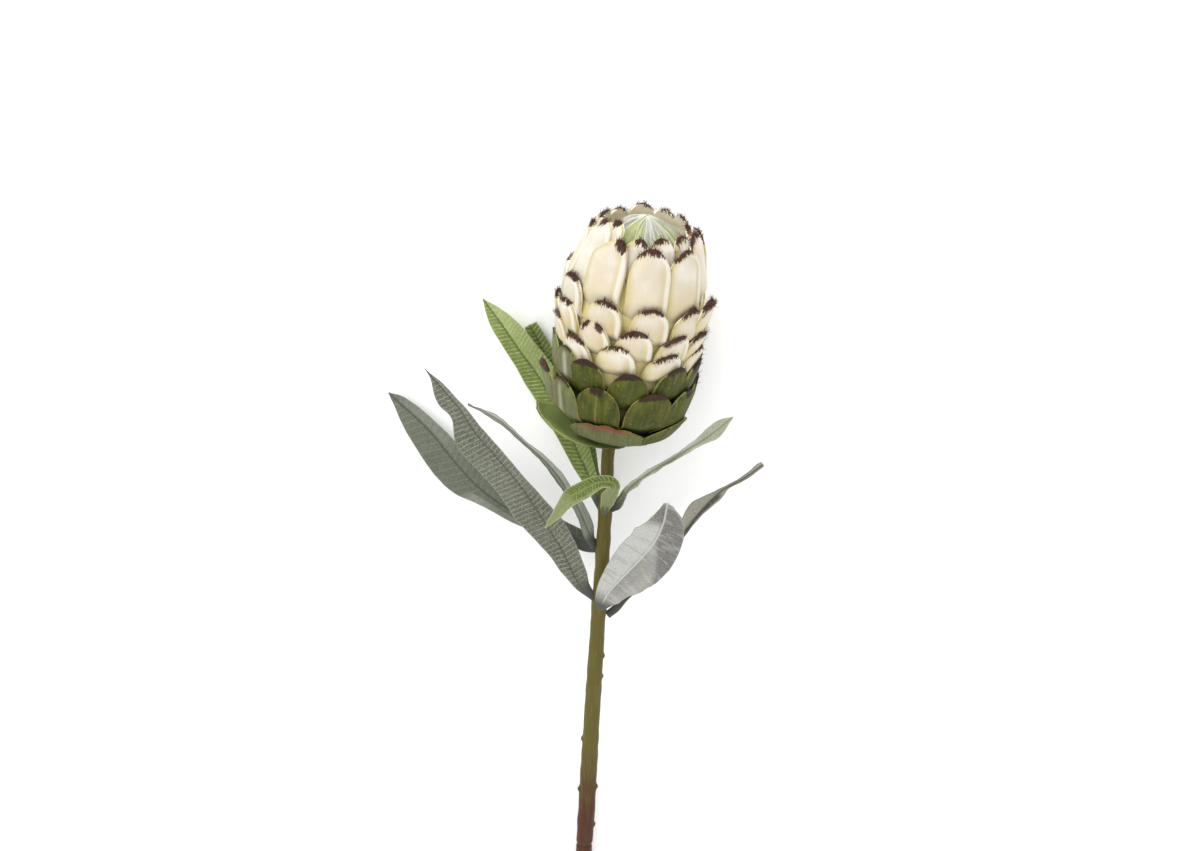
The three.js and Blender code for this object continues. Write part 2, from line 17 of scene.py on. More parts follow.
import bpy
import numpy as np
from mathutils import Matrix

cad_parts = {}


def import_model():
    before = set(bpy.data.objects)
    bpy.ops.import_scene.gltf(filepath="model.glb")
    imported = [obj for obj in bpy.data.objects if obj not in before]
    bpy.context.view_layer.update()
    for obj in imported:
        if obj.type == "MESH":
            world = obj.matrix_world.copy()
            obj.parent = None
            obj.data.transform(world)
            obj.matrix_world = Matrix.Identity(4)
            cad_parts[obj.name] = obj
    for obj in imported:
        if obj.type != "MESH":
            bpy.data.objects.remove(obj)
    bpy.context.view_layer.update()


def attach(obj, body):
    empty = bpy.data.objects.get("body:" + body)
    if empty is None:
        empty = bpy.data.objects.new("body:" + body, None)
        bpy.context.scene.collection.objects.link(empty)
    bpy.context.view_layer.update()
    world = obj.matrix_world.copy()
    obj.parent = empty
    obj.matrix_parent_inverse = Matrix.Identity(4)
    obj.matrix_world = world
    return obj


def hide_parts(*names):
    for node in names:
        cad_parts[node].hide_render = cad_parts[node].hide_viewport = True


LOG = logging.getLogger("protea")
MM = 0.001
CREAM_HAIRS = 4.5e6  # bristles on a square metre of the cream tufts
GREEN_HAIRS = 0.8e6  # and of the green ones
LEAST = 0.001  # least distance from an edge, in millimetres
NOWHERE = 9.0  # distance from a tuft where there is none, in millimetres
STREAM_FACTOR, STREAM_STEP, STREAM_RANGE = 1664525, 1013904223, 4294967296
UP = np.array([0.0, 0.0, 1.0])
LAMPS = 1.5  # light that a level surface gets, where 1 shows white card as white
Array = np.ndarray
Object = bpy.types.Object
Material = bpy.types.Material
Pair = tuple[float, float]
Point = tuple[float, float, float]
Colour = tuple[float, float, float]
Sockets = dict[str | int, Any]
Table = tuple[Pair, ...]


class Slot(Enum):
    """Material slots of the record."""

    CREAM = "cream_bract"
    GREEN = "green_bract"
    FLORET = "floret"
    STEM = "stem"
    GREEN_LEAF = "green_leaf"
    GREY_LEAF = "grey_leaf"


class Side(Enum):
    """Faces of a blade."""

    UPPER = 1.0
    LOWER = -1.0


def colour(red: int, green: int, blue: int) -> Colour:
    """Linear colour of a surface that shows as an sRGB triple under the lamps.

    Args:
        red: Red from 0 to 255.
        green: Green from 0 to 255.
        blue: Blue from 0 to 255.

    Returns:
        The three linear parts, from 0 to 1.
    """
    parts = (red / 255, green / 255, blue / 255)
    return tuple((p / 12.92 if p <= 0.04045 else ((p + 0.055) / 1.055) ** 2.4) / LAMPS for p in parts)


def smoothstep(value: Array, low: float, high: float) -> Array:
    """Smooth rise from 0 at low to 1 at high."""
    share = np.clip((value - low) / (high - low), 0, 1)
    return share * share * (3 - 2 * share)


def lerp(first: Array, second: Array, share: Array) -> Array:
    """Straight mix of two values."""
    return first + (second - first) * share


def bell(value: Array, width: float) -> Array:
    """1 at 0, falling off on both sides over a width."""
    return np.exp(-((value / width) ** 2))


def between(value: Array, low: float, high: float, soft: float) -> Array:
    """1 between two values and 0 outside them, with soft steps."""
    return smoothstep(value, low - soft, low + soft) * (1 - smoothstep(value, high - soft, high + soft))


def around(sides: int) -> Array:
    """Angles of a ring's points, as a row."""
    return np.linspace(0, math.tau, sides + 1)[:-1][None, :]


def unit(vectors: Array) -> Array:
    """Vectors of length one."""
    return vectors / np.linalg.norm(vectors, axis=-1, keepdims=True)


def spokes(heading: Array, turn: Array) -> Array:
    """Headings square to a line, at angles about it from its upper side toward +X."""
    top = unit(UP - heading * heading[..., 2:3])
    side = np.cross(heading, top)
    return top * np.cos(turn)[..., None] + side * np.sin(turn)[..., None]


def read_table(pairs: Table, place: Array) -> Array:
    """Straight reading of pairs of place and value, carried on past both ends."""
    places = np.array([p for p, _ in pairs])
    values = np.array([v for _, v in pairs])
    i = np.clip(np.searchsorted(places, place) - 1, 0, len(places) - 2)
    share = (place - places[i]) / (places[i + 1] - places[i])
    return lerp(values[i], values[i + 1], share)


class Width:
    """A width along a leaf, drawn by pairs of share and width with their corners rounded."""

    SAMPLES = 1000
    ROUNDING = 11

    def __init__(self, pairs: Table) -> None:
        """Samples the pairs.

        Args:
            pairs: Share of the length and width, in order.
        """
        self.shares = np.linspace(0, 1, self.SAMPLES)
        straight = np.interp(self.shares, [p for p, _ in pairs], [w for _, w in pairs])
        reach = np.arange(-3 * self.ROUNDING, 3 * self.ROUNDING + 1)
        weights = np.exp(-((reach / self.ROUNDING) ** 2))
        padded = np.pad(straight, len(reach) // 2, mode="edge")
        self.values = np.convolve(padded, weights / weights.sum(), "valid")

    def read(self, share: Array) -> Array:
        """Width at shares of the length."""
        return np.interp(share, self.shares, self.values)


class Route:
    """A smooth line through points, read by share of its length."""

    SAMPLES = 1200

    def __init__(self, points: Sequence[Sequence[float]]) -> None:
        """Samples the line.

        Args:
            points: The points that the line passes through.
        """
        knots = np.array(points, float)
        first = 2 * knots[0] - knots[1]
        last = 2 * knots[-1] - knots[-2]
        knots = np.vstack([first, knots, last])
        spans = len(knots) - 3
        along = np.linspace(0, spans, self.SAMPLES)
        span = np.minimum(along.astype(int), spans - 1)
        share = (along - span)[:, None]
        a, b, c, d = (knots[span + k] for k in range(4))
        ab, bc, cd = (np.sqrt(np.linalg.norm(q - p, axis=1))[:, None] for p, q in ((a, b), (b, c), (c, d)))
        start = ((b - a) / ab - (c - a) / (ab + bc) + (c - b) / bc) * bc
        end = ((c - b) / bc - (d - b) / (bc + cd) + (d - c) / cd) * bc
        cubic = 2 * b - 2 * c + start + end
        square = -3 * b + 3 * c - 2 * start - end
        self.line = b + share * (start + share * (square + share * cubic))
        steps = np.linalg.norm(np.diff(self.line, axis=0), axis=1)
        self.length = float(steps.sum())
        self.shares = np.concatenate([[0], np.cumsum(steps)]) / self.length
        self.headings = unit(np.gradient(self.line, self.shares, axis=0))

    def _read(self, values: Array, share: Array) -> Array:
        """Sampled values at shares of the length."""
        return np.stack([np.interp(share, self.shares, values[:, k]) for k in range(3)], axis=-1)

    def points(self, share: Array) -> Array:
        """Points at shares of the length."""
        return self._read(self.line, share)

    def tangents(self, share: Array) -> Array:
        """Headings at shares of the length."""
        return unit(self._read(self.headings, share))


def math_node(operation: str, turned: bool = False) -> Callable[..., Term]:
    """A method of Term that adds one Math node.

    Args:
        operation: The node's operation.
        turned: Whether the other value comes first.

    Returns:
        The method, which takes the other value if the operation has one.
    """

    def method(term: Term, *others: Any) -> Term:
        values = (*others, term) if turned else (term, *others)
        return term.graph.add("ShaderNodeMath", dict(enumerate(values)), operation=operation)

    return method


class Term:
    """A node's output socket that takes part in Python expressions."""

    __add__ = math_node("ADD")
    __radd__ = math_node("ADD", turned=True)
    __sub__ = math_node("SUBTRACT")
    __rsub__ = math_node("SUBTRACT", turned=True)
    __mul__ = math_node("MULTIPLY")
    __abs__ = math_node("ABSOLUTE")
    sine = math_node("SINE")
    least = math_node("MINIMUM")

    def __init__(self, graph: Graph, socket: bpy.types.NodeSocket) -> None:
        """Wraps a socket of a graph."""
        self.graph = graph
        self.socket = socket

    def rise(self, low: float, high: float) -> Term:
        """Smooth step from 0 at low to 1 at high."""
        spans = {"Value": self, "From Min": low, "From Max": high}
        return self.graph.add("ShaderNodeMapRange", spans, interpolation_type="SMOOTHSTEP")


class Graph:
    """A node tree written in Python, for a material or for geometry."""

    def __init__(self, tree: bpy.types.NodeTree) -> None:
        """Starts on a tree."""
        self.tree = tree

    def node(self, kind: str, sockets: Sockets | None = None, **settings: Any) -> bpy.types.Node:
        """Adds a node.

        Args:
            kind: The node's type.
            sockets: Values or links of its input sockets, by name or number.
            **settings: Its properties, set before its sockets.

        Returns:
            The new node.
        """
        node = self.tree.nodes.new(kind)
        for name, value in settings.items():
            setattr(node, name, value)
        for key, value in (sockets or {}).items():
            self.feed(node.inputs[key], value)
        return node

    def add(self, kind: str, sockets: Sockets | None = None, output: str | int = 0,
            **settings: Any) -> Term:
        """Adds a node and gives one of its outputs as a term."""
        return Term(self, self.node(kind, sockets, **settings).outputs[output])

    def feed(self, socket: bpy.types.NodeSocket, value: Any) -> None:
        """Links a term to a socket, or sets the socket's own value."""
        if isinstance(value, Term):
            self.tree.links.new(value.socket, socket)
        elif socket.type == "RGBA":
            socket.default_value = (*value[:3], 1.0)
        else:
            socket.default_value = value


class Surface(Graph):
    """The node tree of one material."""

    def __init__(self, name: str) -> None:
        """Makes an empty material of that name."""
        self.material = bpy.data.materials.new(name)
        self.material.use_nodes = True
        super().__init__(self.material.node_tree)
        self.tree.nodes.clear()

    def read(self, attribute: str) -> Term:
        """A number that the mesh carries."""
        return self.add("ShaderNodeAttribute", None, "Fac", attribute_name=attribute)

    def place(self, attribute: str = "") -> Term:
        """A position: an attribute of the mesh, or the object's own coordinates."""
        if attribute:
            return self.add("ShaderNodeAttribute", None, "Vector", attribute_name=attribute)
        return self.add("ShaderNodeTexCoord", None, "Object")

    def noise(self, where: Term, scale: float, detail: float = 3.0,
              stretch: Point = (1.0, 1.0, 1.0)) -> Term:
        """Cloudy noise from 0 to 1 about 0.5.

        Args:
            where: The position to read it at.
            scale: How many clouds there are in one unit of that position.
            detail: How many finer layers it has.
            stretch: Factors on the three parts of the position.

        Returns:
            The noise.
        """
        spread = self.add("ShaderNodeMapping", {"Vector": where, "Scale": stretch}, vector_type="POINT")
        return self.add("ShaderNodeTexNoise", {"Vector": spread, "Scale": scale, "Detail": detail})

    def coats(self, tint: Colour, *layers: tuple[Any, Any]) -> Term:
        """Lays coats over a colour.

        Args:
            tint: The colour below.
            *layers: Each coat's cover, from 0 to 1, and its colour, the lowest first.

        Returns:
            The colour on top.
        """
        for cover, colour_over in layers:
            tint = self.add("ShaderNodeMix", {0: cover, 6: tint, 7: colour_over}, 2, data_type="RGBA")
        return tint

    def bump(self, height: Term, depth: float) -> Term:
        """Normal of a surface with a fine relief of a depth in millimetres."""
        return self.add("ShaderNodeBump", {"Height": height, "Distance": depth * MM, "Strength": 1.0})

    def finish(self, base: Any, roughness: Any, normal: Term | None = None,
               **constants: Any) -> Material:
        """Closes the tree with a Principled shader.

        Args:
            base: The base colour.
            roughness: The roughness.
            normal: The bumped normal, if there is one.
            **constants: Values of other sockets, underscores for spaces.

        Returns:
            The material.
        """
        values = {"Base Color": base, "Roughness": roughness}
        if normal is not None:
            values["Normal"] = normal
        values |= {name.replace("_", " "): value for name, value in constants.items()}
        shader = self.add("ShaderNodeBsdfPrincipled", values)
        self.node("ShaderNodeOutputMaterial", {"Surface": shader})
        return self.material


def link(name: str, data: bpy.types.ID) -> Object:
    """Puts a new object of some data into the scene."""
    made = bpy.data.objects.new(name, data)
    bpy.context.scene.collection.objects.link(made)
    return made


class Mesher:
    """Gathers blades, tubes or lines into one mesh with its attributes."""

    def __init__(self) -> None:
        """Starts empty."""
        self.points: list[Array] = []
        self.joins: list[Array] = []
        self.numbers: dict[str, list[Array]] = {}
        self.count = 0

    def add(self, points: Array, joins: Array, numbers: dict[str, Array]) -> None:
        """Adds points, what joins them and what they carry.

        Args:
            points: Points in millimetres, one a row.
            joins: Point numbers, four a row for faces or two for edges.
            numbers: Values by attribute name: one number or three for each point.
        """
        self.points.append(points)
        self.joins.append(joins + self.count)
        for name, values in numbers.items():
            self.numbers.setdefault(name, []).append(values)
        self.count += len(points)

    def blade(self, upper: Array, lower: Array, numbers: dict[str, Array],
              below: dict[str, float | Array] | None = None) -> None:
        """Adds a thin closed blade from two like grids.

        Args:
            upper: Points of the upper face, rows along the blade.
            lower: Points of the lower face.
            numbers: Values at the upper grid's points, repeated below.
            below: Values that the whole lower face has instead.
        """
        rows, columns = upper.shape[:2]
        size = rows * columns
        grid = np.arange(size).reshape(rows, columns)
        top = np.stack([grid[:-1, :-1], grid[:-1, 1:], grid[1:, 1:], grid[1:, :-1]], axis=-1).reshape(-1, 4)
        edge = np.concatenate([grid[0, :-1], grid[:-1, -1], grid[-1, :0:-1], grid[:0:-1, 0]])
        after = np.roll(edge, -1)
        band = np.stack([edge, edge + size, after + size, after], axis=-1)
        faces = np.concatenate([top, top[:, ::-1] + size, band])
        doubled = {name: np.concatenate([v.reshape(size, -1)] * 2) for name, v in numbers.items()}
        for name, value in (below or {}).items():
            doubled[name][size:] = np.broadcast_to(value, numbers[name].shape).reshape(size, -1)
        self.add(np.concatenate([upper.reshape(-1, 3), lower.reshape(-1, 3)]), faces, doubled)

    def tube(self, rings: Array, numbers: dict[str, Array]) -> None:
        """Adds a tube from rings of points, one a row, closed at both ends by their middles."""
        count, sides = rings.shape[:2]
        size = count * sides
        grid = np.arange(size).reshape(count, sides)
        turned = np.roll(grid, -1, axis=1)
        wall = np.stack([grid[:-1], turned[:-1], turned[1:], grid[1:]], axis=-1).reshape(-1, 4)
        middle = np.full(sides, size)
        first = np.stack([turned[0], grid[0], middle, middle], axis=-1)
        last = np.stack([grid[-1], turned[-1], middle + 1, middle + 1], axis=-1)
        points = np.concatenate([rings.reshape(-1, 3), [rings[0].mean(axis=0), rings[-1].mean(axis=0)]])
        flat = {name: values.reshape(size, -1) for name, values in numbers.items()}
        ended = {name: np.concatenate([values, values[:1], values[-1:]]) for name, values in flat.items()}
        self.add(points, np.concatenate([wall, first, last]), ended)

    def lines(self, points: Array, thick: Array, **numbers: Array) -> None:
        """Adds lines of like length, for threads to be grown along.

        Args:
            points: Points in millimetres, one line a row.
            thick: The thread's radius in millimetres at each point.
            **numbers: Other values at each point.
        """
        count, steps = points.shape[:2]
        grid = np.arange(count * steps).reshape(count, steps)
        edges = np.stack([grid[:, :-1], grid[:, 1:]], axis=-1).reshape(-1, 2)
        values = {"thick": thick * MM, **numbers}
        flat = {name: np.broadcast_to(value, (count, steps)).ravel() for name, value in values.items()}
        self.add(points.reshape(-1, 3), edges, flat)

    def build(self, name: str, material: Material | None = None) -> Object:
        """Makes the object.

        Args:
            name: The piece's name.
            material: Its material, if it is to be seen.

        Returns:
            The mesh object, at the origin.
        """
        points = np.concatenate(self.points) * MM
        joins = [tuple(dict.fromkeys(join)) for join in np.concatenate(self.joins).tolist()]
        edges, faces = (joins, []) if len(joins[0]) == 2 else ([], joins)
        mesh = bpy.data.meshes.new(name)
        mesh.from_pydata(points.tolist(), edges, faces)
        for key, parts in self.numbers.items():
            values = np.concatenate(parts).reshape(self.count, -1)
            kind, entry = ("FLOAT_VECTOR", "vector") if values.shape[1] == 3 else ("FLOAT", "value")
            mesh.attributes.new(key, kind, "POINT").data.foreach_set(entry, values.ravel())
        mesh.polygons.foreach_set("use_smooth", np.ones(len(faces), bool))
        mesh.update()
        if material is not None:
            mesh.materials.append(material)
        return link(name, mesh)


class Growth(Graph):
    """A Geometry Nodes tree with named inputs, grown on a carrier."""

    def __init__(self, name: str, sizes: dict[str, float], seed: int) -> None:
        """Makes the tree's interface.

        Args:
            name: The tree's name.
            sizes: Named inputs with their values.
            seed: The fixed seed.
        """
        super().__init__(bpy.data.node_groups.new(name, "GeometryNodeTree"))
        self.tree.interface.new_socket("Geometry", in_out="OUTPUT", socket_type="NodeSocketGeometry")
        self.values: dict[str, Any] = {}
        self._input("Geometry", "Geometry", None)
        for key, value in sizes.items():
            self._input(key, "Float", value)
        self._input("Seed", "Int", seed)
        self._input("Material", "Material", None)
        self.start = self.node("NodeGroupInput")

    def _input(self, name: str, kind: str, value: Any) -> None:
        """Adds one named input and keeps the value that the modifier gives it."""
        socket = self.tree.interface.new_socket(name, in_out="INPUT", socket_type=f"NodeSocket{kind}")
        self.values[name] = (socket.identifier, value)

    def read(self, name: str) -> Term:
        """One of the named inputs."""
        return Term(self, self.start.outputs[name])

    def carried(self, name: str, kind: str = "FLOAT") -> Term:
        """An attribute that the carrier brings along."""
        return self.add("GeometryNodeInputNamedAttribute", {"Name": name}, "Attribute", data_type=kind)

    def close(self, geometry: Term) -> None:
        """Ends the tree in real geometry with its material."""
        real = self.add("GeometryNodeRealizeInstances", {"Geometry": geometry})
        smooth = self.add("GeometryNodeSetShadeSmooth", {"Geometry": real})
        material = self.read("Material")
        dressed = self.add("GeometryNodeSetMaterial", {"Geometry": smooth, "Material": material})
        self.node("NodeGroupOutput", {"Geometry": dressed})

    def grow(self, carrier: Object, name: str, material: Material,
             **sizes: float) -> Object:
        """Grows the tree on a carrier and keeps the result as a plain mesh.

        Args:
            carrier: The object to grow on, left as it was.
            name: The new piece's name.
            material: The material of what grows.
            **sizes: Other values for the named inputs.

        Returns:
            The new piece.
        """
        modifier = carrier.modifiers.new("growth", "NODES")
        modifier.node_group = self.tree
        for key, (identifier, value) in self.values.items():
            if value is not None:
                modifier[identifier] = type(value)(sizes.get(key, value))
        modifier[self.values["Material"][0]] = material
        view = bpy.context.evaluated_depsgraph_get()
        mesh = bpy.data.meshes.new_from_object(carrier.evaluated_get(view))
        carrier.modifiers.remove(modifier)
        mesh.name = name
        return link(name, mesh)


class Hairs(Growth):
    """Short bent bristles that stand on the parts of a carrier marked for them."""

    def __init__(self) -> None:
        """Builds the tree. The carrier brings bristle, from 0 to 1, and grow, their heading."""
        super().__init__("bristles", {
            "Density": CREAM_HAIRS, "Length": 2.9 * MM, "Thickness": 0.12 * MM,
            "Spread": 0.6, "Clumps": 520.0,
        }, seed=5)
        add, read = self.add, self.read
        where = add("GeometryNodeInputPosition")
        cloud = add("ShaderNodeTexNoise", {"Vector": where, "Scale": read("Clumps"), "Detail": 1.0})
        density = read("Density") * self.carried("bristle") * cloud.rise(0.36, 0.66)
        roots = add("GeometryNodeDistributePointsOnFaces", {
            "Mesh": read("Geometry"), "Density": density, "Seed": read("Seed"),
        }, distribute_method="RANDOM")
        around = add("FunctionNodeRandomValue", {0: (-1, -1, -1), 1: (1, 1, 1), "Seed": read("Seed") + 1},
                     data_type="FLOAT_VECTOR")
        loose = add("ShaderNodeVectorMath", {0: around, "Scale": read("Spread")}, operation="SCALE")
        grown = self.carried("grow", "FLOAT_VECTOR")
        heading = add("ShaderNodeVectorMath", {0: grown, 1: loose}, operation="ADD")
        upright = add("FunctionNodeAlignRotationToVector", {"Vector": heading}, axis="Z")
        about = add("ShaderNodeCombineXYZ", {"Z": self._chance(0.0, math.tau, 2)})
        turned = add("FunctionNodeRotateRotation", {"Rotation": upright, "Rotate By": about},
                     rotation_space="LOCAL")
        size = self._chance(0.4, 1.3, 3)
        self.close(add("GeometryNodeInstanceOnPoints", {
            "Points": roots, "Instance": self._bristle(), "Rotation": turned, "Scale": size,
        }))

    def _chance(self, low: float, high: float, shift: int) -> Term:
        """A random number between two for each bristle, by the seed and a shift of it."""
        values = {2: low, 3: high, "Seed": self.read("Seed") + shift}
        return self.add("FunctionNodeRandomValue", values, 1, data_type="FLOAT")

    def _bristle(self) -> Term:
        """One bent bristle, tapered to a point, along +Z."""
        add = self.add
        length = self.read("Length")
        middle = add("ShaderNodeCombineXYZ", {"X": length * 0.04, "Z": length * 0.55})
        end = add("ShaderNodeCombineXYZ", {"X": length * 0.3, "Z": length})
        line = add("GeometryNodeCurveQuadraticBezier",
                   {"Resolution": 4, "Start": (0, 0, 0), "Middle": middle, "End": end})
        share = add("GeometryNodeSplineParameter", None, "Factor")
        circle = {"Resolution": 3, "Radius": self.read("Thickness")}
        section = add("GeometryNodeCurvePrimitiveCircle", circle, mode="RADIUS")
        sweep = {"Curve": line, "Profile Curve": section, "Scale": 1.05 - share}
        return add("GeometryNodeCurveToMesh", sweep)


class Threads(Growth):
    """Round threads laid along drawn lines, as thick as the lines say."""

    def __init__(self) -> None:
        """Builds the tree. The carrier is edges and brings thick, a radius in metres."""
        super().__init__("laid_threads", {"Fullness": 1.0, "Sides": 5.0}, seed=1)
        lines = self.add("GeometryNodeMeshToCurve", {"Mesh": self.read("Geometry")})
        radius = self.carried("thick") * self.read("Fullness")
        circle = {"Resolution": self.read("Sides"), "Radius": 1.0}
        section = self.add("GeometryNodeCurvePrimitiveCircle", circle, mode="RADIUS")
        self.close(self.add("GeometryNodeCurveToMesh", {
            "Curve": lines, "Profile Curve": section, "Scale": radius, "Fill Caps": True,
        }))

    def lay(self, lines: Mesher, name: str, material: Material) -> Object:
        """Grows threads along drawn lines.

        Args:
            lines: The drawn lines.
            name: The piece's name.
            material: The threads' material.

        Returns:
            The piece.
        """
        carrier = lines.build("lines")
        piece = self.grow(carrier, name, material)
        bpy.data.objects.remove(carrier)
        return piece


def present(piece: Object, slot: Slot, *nodes: str) -> None:
    """Hands a finished piece to the frame.

    Args:
        piece: The piece, in place.
        slot: The record's material slot; not used.
        *nodes: The CAD nodes that it stands for.
    """
    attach(piece, "root")
    if nodes:
        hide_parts(*nodes)
    triangles = sum(len(p.vertices) - 2 for p in piece.data.polygons)
    LOG.info("%s: %d triangles", piece.name, triangles)


@dataclass(frozen=True)
class CreamFinish:
    """Coated foam, ivory with a dark bristly tip. Painted shade darkens its covered parts, lower rows, edges
    and groove, a painted highlight lightens its rims and painted light its inner faces.
    """

    pale: Colour = colour(246, 240, 227)
    base: Colour = colour(233, 222, 199)
    # The yellow of painted shade in covered parts and in the groove, and of small real specks.
    deep: Colour = colour(218, 198, 136)
    # Painted shade on the lower rows, which face away from the light.
    browned: Colour = colour(190, 168, 118)
    # Painted shade: a yellow that darkens the edges where the bracts meet in grooves.
    edge_shade: Colour = colour(214, 197, 130)
    # Partly a frosted coat, partly painted light on bracts that face the light.
    cool: Colour = colour(232, 231, 226)
    tip: Colour = colour(66, 35, 28)
    fringe: Colour = colour(150, 112, 84)
    # Painted light: a brighter colour for the inner faces, which lie in shade.
    inner_painted_light: Colour = (0.9, 0.85, 0.7)
    roughness: float = 0.42

    def material(self) -> Material:
        """Makes the material."""
        s = Surface("cream_foam")
        own, blade = s.place(), s.place("blade")
        cloud = s.noise(own, 60, 3)
        streak = s.noise(blade, 1.0, 4, stretch=(1.1, 0.07, 1.0))
        ragged = s.noise(blade, 1.0, 3, stretch=(1.5, 0.3, 1.0)) - 0.5
        specks = s.add("ShaderNodeTexVoronoi", {"Vector": own, "Scale": 120.0}, feature="F1")
        margin, hand, tuft = s.read("margin"), s.read("hand"), s.read("tuft")
        # Painted shade along the edges, most on the left-hand side.
        edge = (1 - margin.rise(0.0, 5.2)) * (0.55 + streak * 0.7) * (1.0 - hand.rise(-0.3, 0.5) * 0.75)
        # Painted shade in the hollow inside the right-hand rim, and a painted highlight on the rim.
        groove = margin.rise(3.2, 4.6) * (1 - margin.rise(5.0, 7.6)) * hand.rise(0.1, 0.8)
        rim = margin.rise(0.5, 1.4) * (1 - margin.rise(3.0, 4.3)) * hand.rise(-0.1, 0.5)
        fringe = (tuft + ragged * 14.0).rise(-1.6, 0.6)
        dark = (tuft + ragged * 9.0).rise(-0.3, 0.7)
        tint = s.coats(
            self.pale,
            (cloud.rise(0.35, 0.65), self.base),
            (streak.rise(0.45, 0.75) * 0.4, self.base),
            # Painted shade where the row above covers the bract.
            (s.read("covered").rise(0.4, 1.1) * 0.5, self.deep),
            # Painted shade on the lower rows.
            (s.read("age") * (0.45 + cloud * 0.5), self.browned),
            # Painted shade along the edges.
            (edge.least(0.85), self.edge_shade),
            # Painted shade in the groove and a painted highlight on the rim.
            (groove * 0.6, self.deep),
            (rim * 0.75, self.pale),
            # More painted shade along the very edge.
            ((1 - margin.rise(0.2, 1.1)) * 0.5, self.edge_shade),
            # Partly frosting, partly painted light on bracts that face the light.
            (s.read("frost_and_light"), self.cool),
            ((1 - specks.rise(0.02, 0.05)) * 0.6, self.deep),
            # Painted light on the shaded inner faces.
            (s.read("inner"), self.inner_painted_light),
            (fringe * 0.4, self.fringe),
            (dark * 0.96, self.tip),
        )
        normal = s.bump(streak * 0.75 + s.noise(own, 900, 2) * 0.25, 0.28)
        return s.finish(tint, self.roughness + dark * 0.4, normal, Subsurface_Weight=0.25,
                        Subsurface_Scale=0.003, Specular_IOR_Level=0.35)


@dataclass(frozen=True)
class CoreFinish:
    """The foam core in the grooves between the bracts."""

    base: Colour = colour(240, 222, 160)
    shade: Colour = colour(224, 212, 142)

    def material(self) -> Material:
        """Makes the material."""
        s = Surface("core_foam")
        cloud = s.noise(s.place(), 90, 4)
        return s.finish(s.coats(self.base, (cloud.rise(0.3, 0.7), self.shade)), 0.75, s.bump(cloud, 0.3))


@dataclass(frozen=True)
class GreenFinish:
    """Coated green fabric with burnt brown tips. Painted shade darkens its covered parts, painted light
    brightens its inner faces, and a grey that is partly frosting and partly painted light covers bracts
    facing the light.
    """

    light: Colour = colour(106, 111, 36)
    base: Colour = colour(82, 88, 20)
    dark: Colour = colour(54, 60, 10)
    # Partly a frosted coat, partly painted light on bracts that face the light.
    grey: Colour = colour(146, 149, 114)
    rim: Colour = colour(152, 147, 84)
    chalk: Colour = colour(214, 216, 204)
    edge: Colour = colour(104, 66, 40)
    # Painted light: a brighter green for the inner faces, which lie in shade.
    inner_painted_light: Colour = (0.4, 0.5, 0.17)
    tip: Colour = colour(50, 30, 26)
    blush: Colour = colour(132, 54, 42)

    def material(self) -> Material:
        """Makes the material."""
        s = Surface("green_fabric")
        own, blade = s.place(), s.place("blade")
        streak = s.noise(blade, 1.0, 4, stretch=(0.5, 0.08, 1.0))
        ragged = s.noise(blade, 1.0, 4, stretch=(0.6, 0.3, 1.0)) - 0.5
        cloud = s.noise(own, 95, 4)
        margin, frost_and_light = s.read("margin"), s.read("frost_and_light")
        burnt = (s.read("tuft") + ragged * 7.0).rise(-1.6, 1.3)
        tint = s.coats(
            self.dark,
            (cloud.rise(0.32, 0.68), self.light),
            (0.45, self.base),
            (streak.rise(0.48, 0.66) * 0.6, self.light),
            ((1 - streak.rise(0.34, 0.48)) * 0.6, self.dark),
            # Painted shade where the row above covers the bract.
            (s.read("covered").rise(0.1, 1.0) * 0.5, self.dark),
            # Partly frosting, partly painted light on bracts that face the light.
            ((frost_and_light * (0.5 + streak * 0.8)).least(0.95), self.grey),
            (s.noise(own, 420, 3).rise(0.6, 0.72) * 0.35, self.rim),
            ((1 - margin.rise(0.4, 3.0)) * cloud.rise(0.45, 0.6) * 0.5, self.edge),
            ((1 - margin.rise(0.1, 0.9)) * streak.rise(0.3, 0.6) * 0.8, self.rim),
            # Painted light on the shaded inner faces.
            (s.read("inner") * 0.8, self.inner_painted_light),
            (burnt * 0.95, self.tip),
            ((s.read("blush") * (0.3 + cloud * 1.2)).least(0.9), self.blush),
            ((s.read("fold") * (0.4 + streak)).least(0.95), s.coats(self.rim, (frost_and_light, self.chalk))),
        )
        normal = s.bump(streak * 0.6 + s.noise(own, 1500, 2) * 0.4, 0.3)
        return s.finish(tint, 0.6, normal, Specular_IOR_Level=0.18)


@dataclass(frozen=True)
class BristleFinish:
    """Dark fibres on the tips."""

    root: Colour = colour(60, 34, 28)
    end: Colour = colour(146, 92, 72)
    pale: Colour = colour(206, 200, 190)

    def material(self) -> Material:
        """Makes the material."""
        s = Surface("bristle_fibre")
        cloud = s.noise(s.place(), 800, 2)
        tint = s.coats(self.root, (cloud.rise(0.35, 0.75), self.end), (s.read("fuzz"), self.pale))
        return s.finish(tint, 0.7, Specular_IOR_Level=0.2)


@dataclass(frozen=True)
class SilkFinish:
    """Silky floret fabric, from pale green to white."""

    name: str
    low: Colour
    high: Colour

    def material(self) -> Material:
        """Makes the material."""
        s = Surface(self.name)
        streak = s.noise(s.place("blade"), 1.0, 3, stretch=(1.4, 0.12, 1.0))
        tint = s.coats(self.low, ((s.read("tint") * 0.8 + streak * 0.4).rise(0.15, 0.85), self.high))
        return s.finish(tint, 0.38, s.bump(streak, 0.15), Sheen_Weight=0.5, Specular_IOR_Level=0.5)


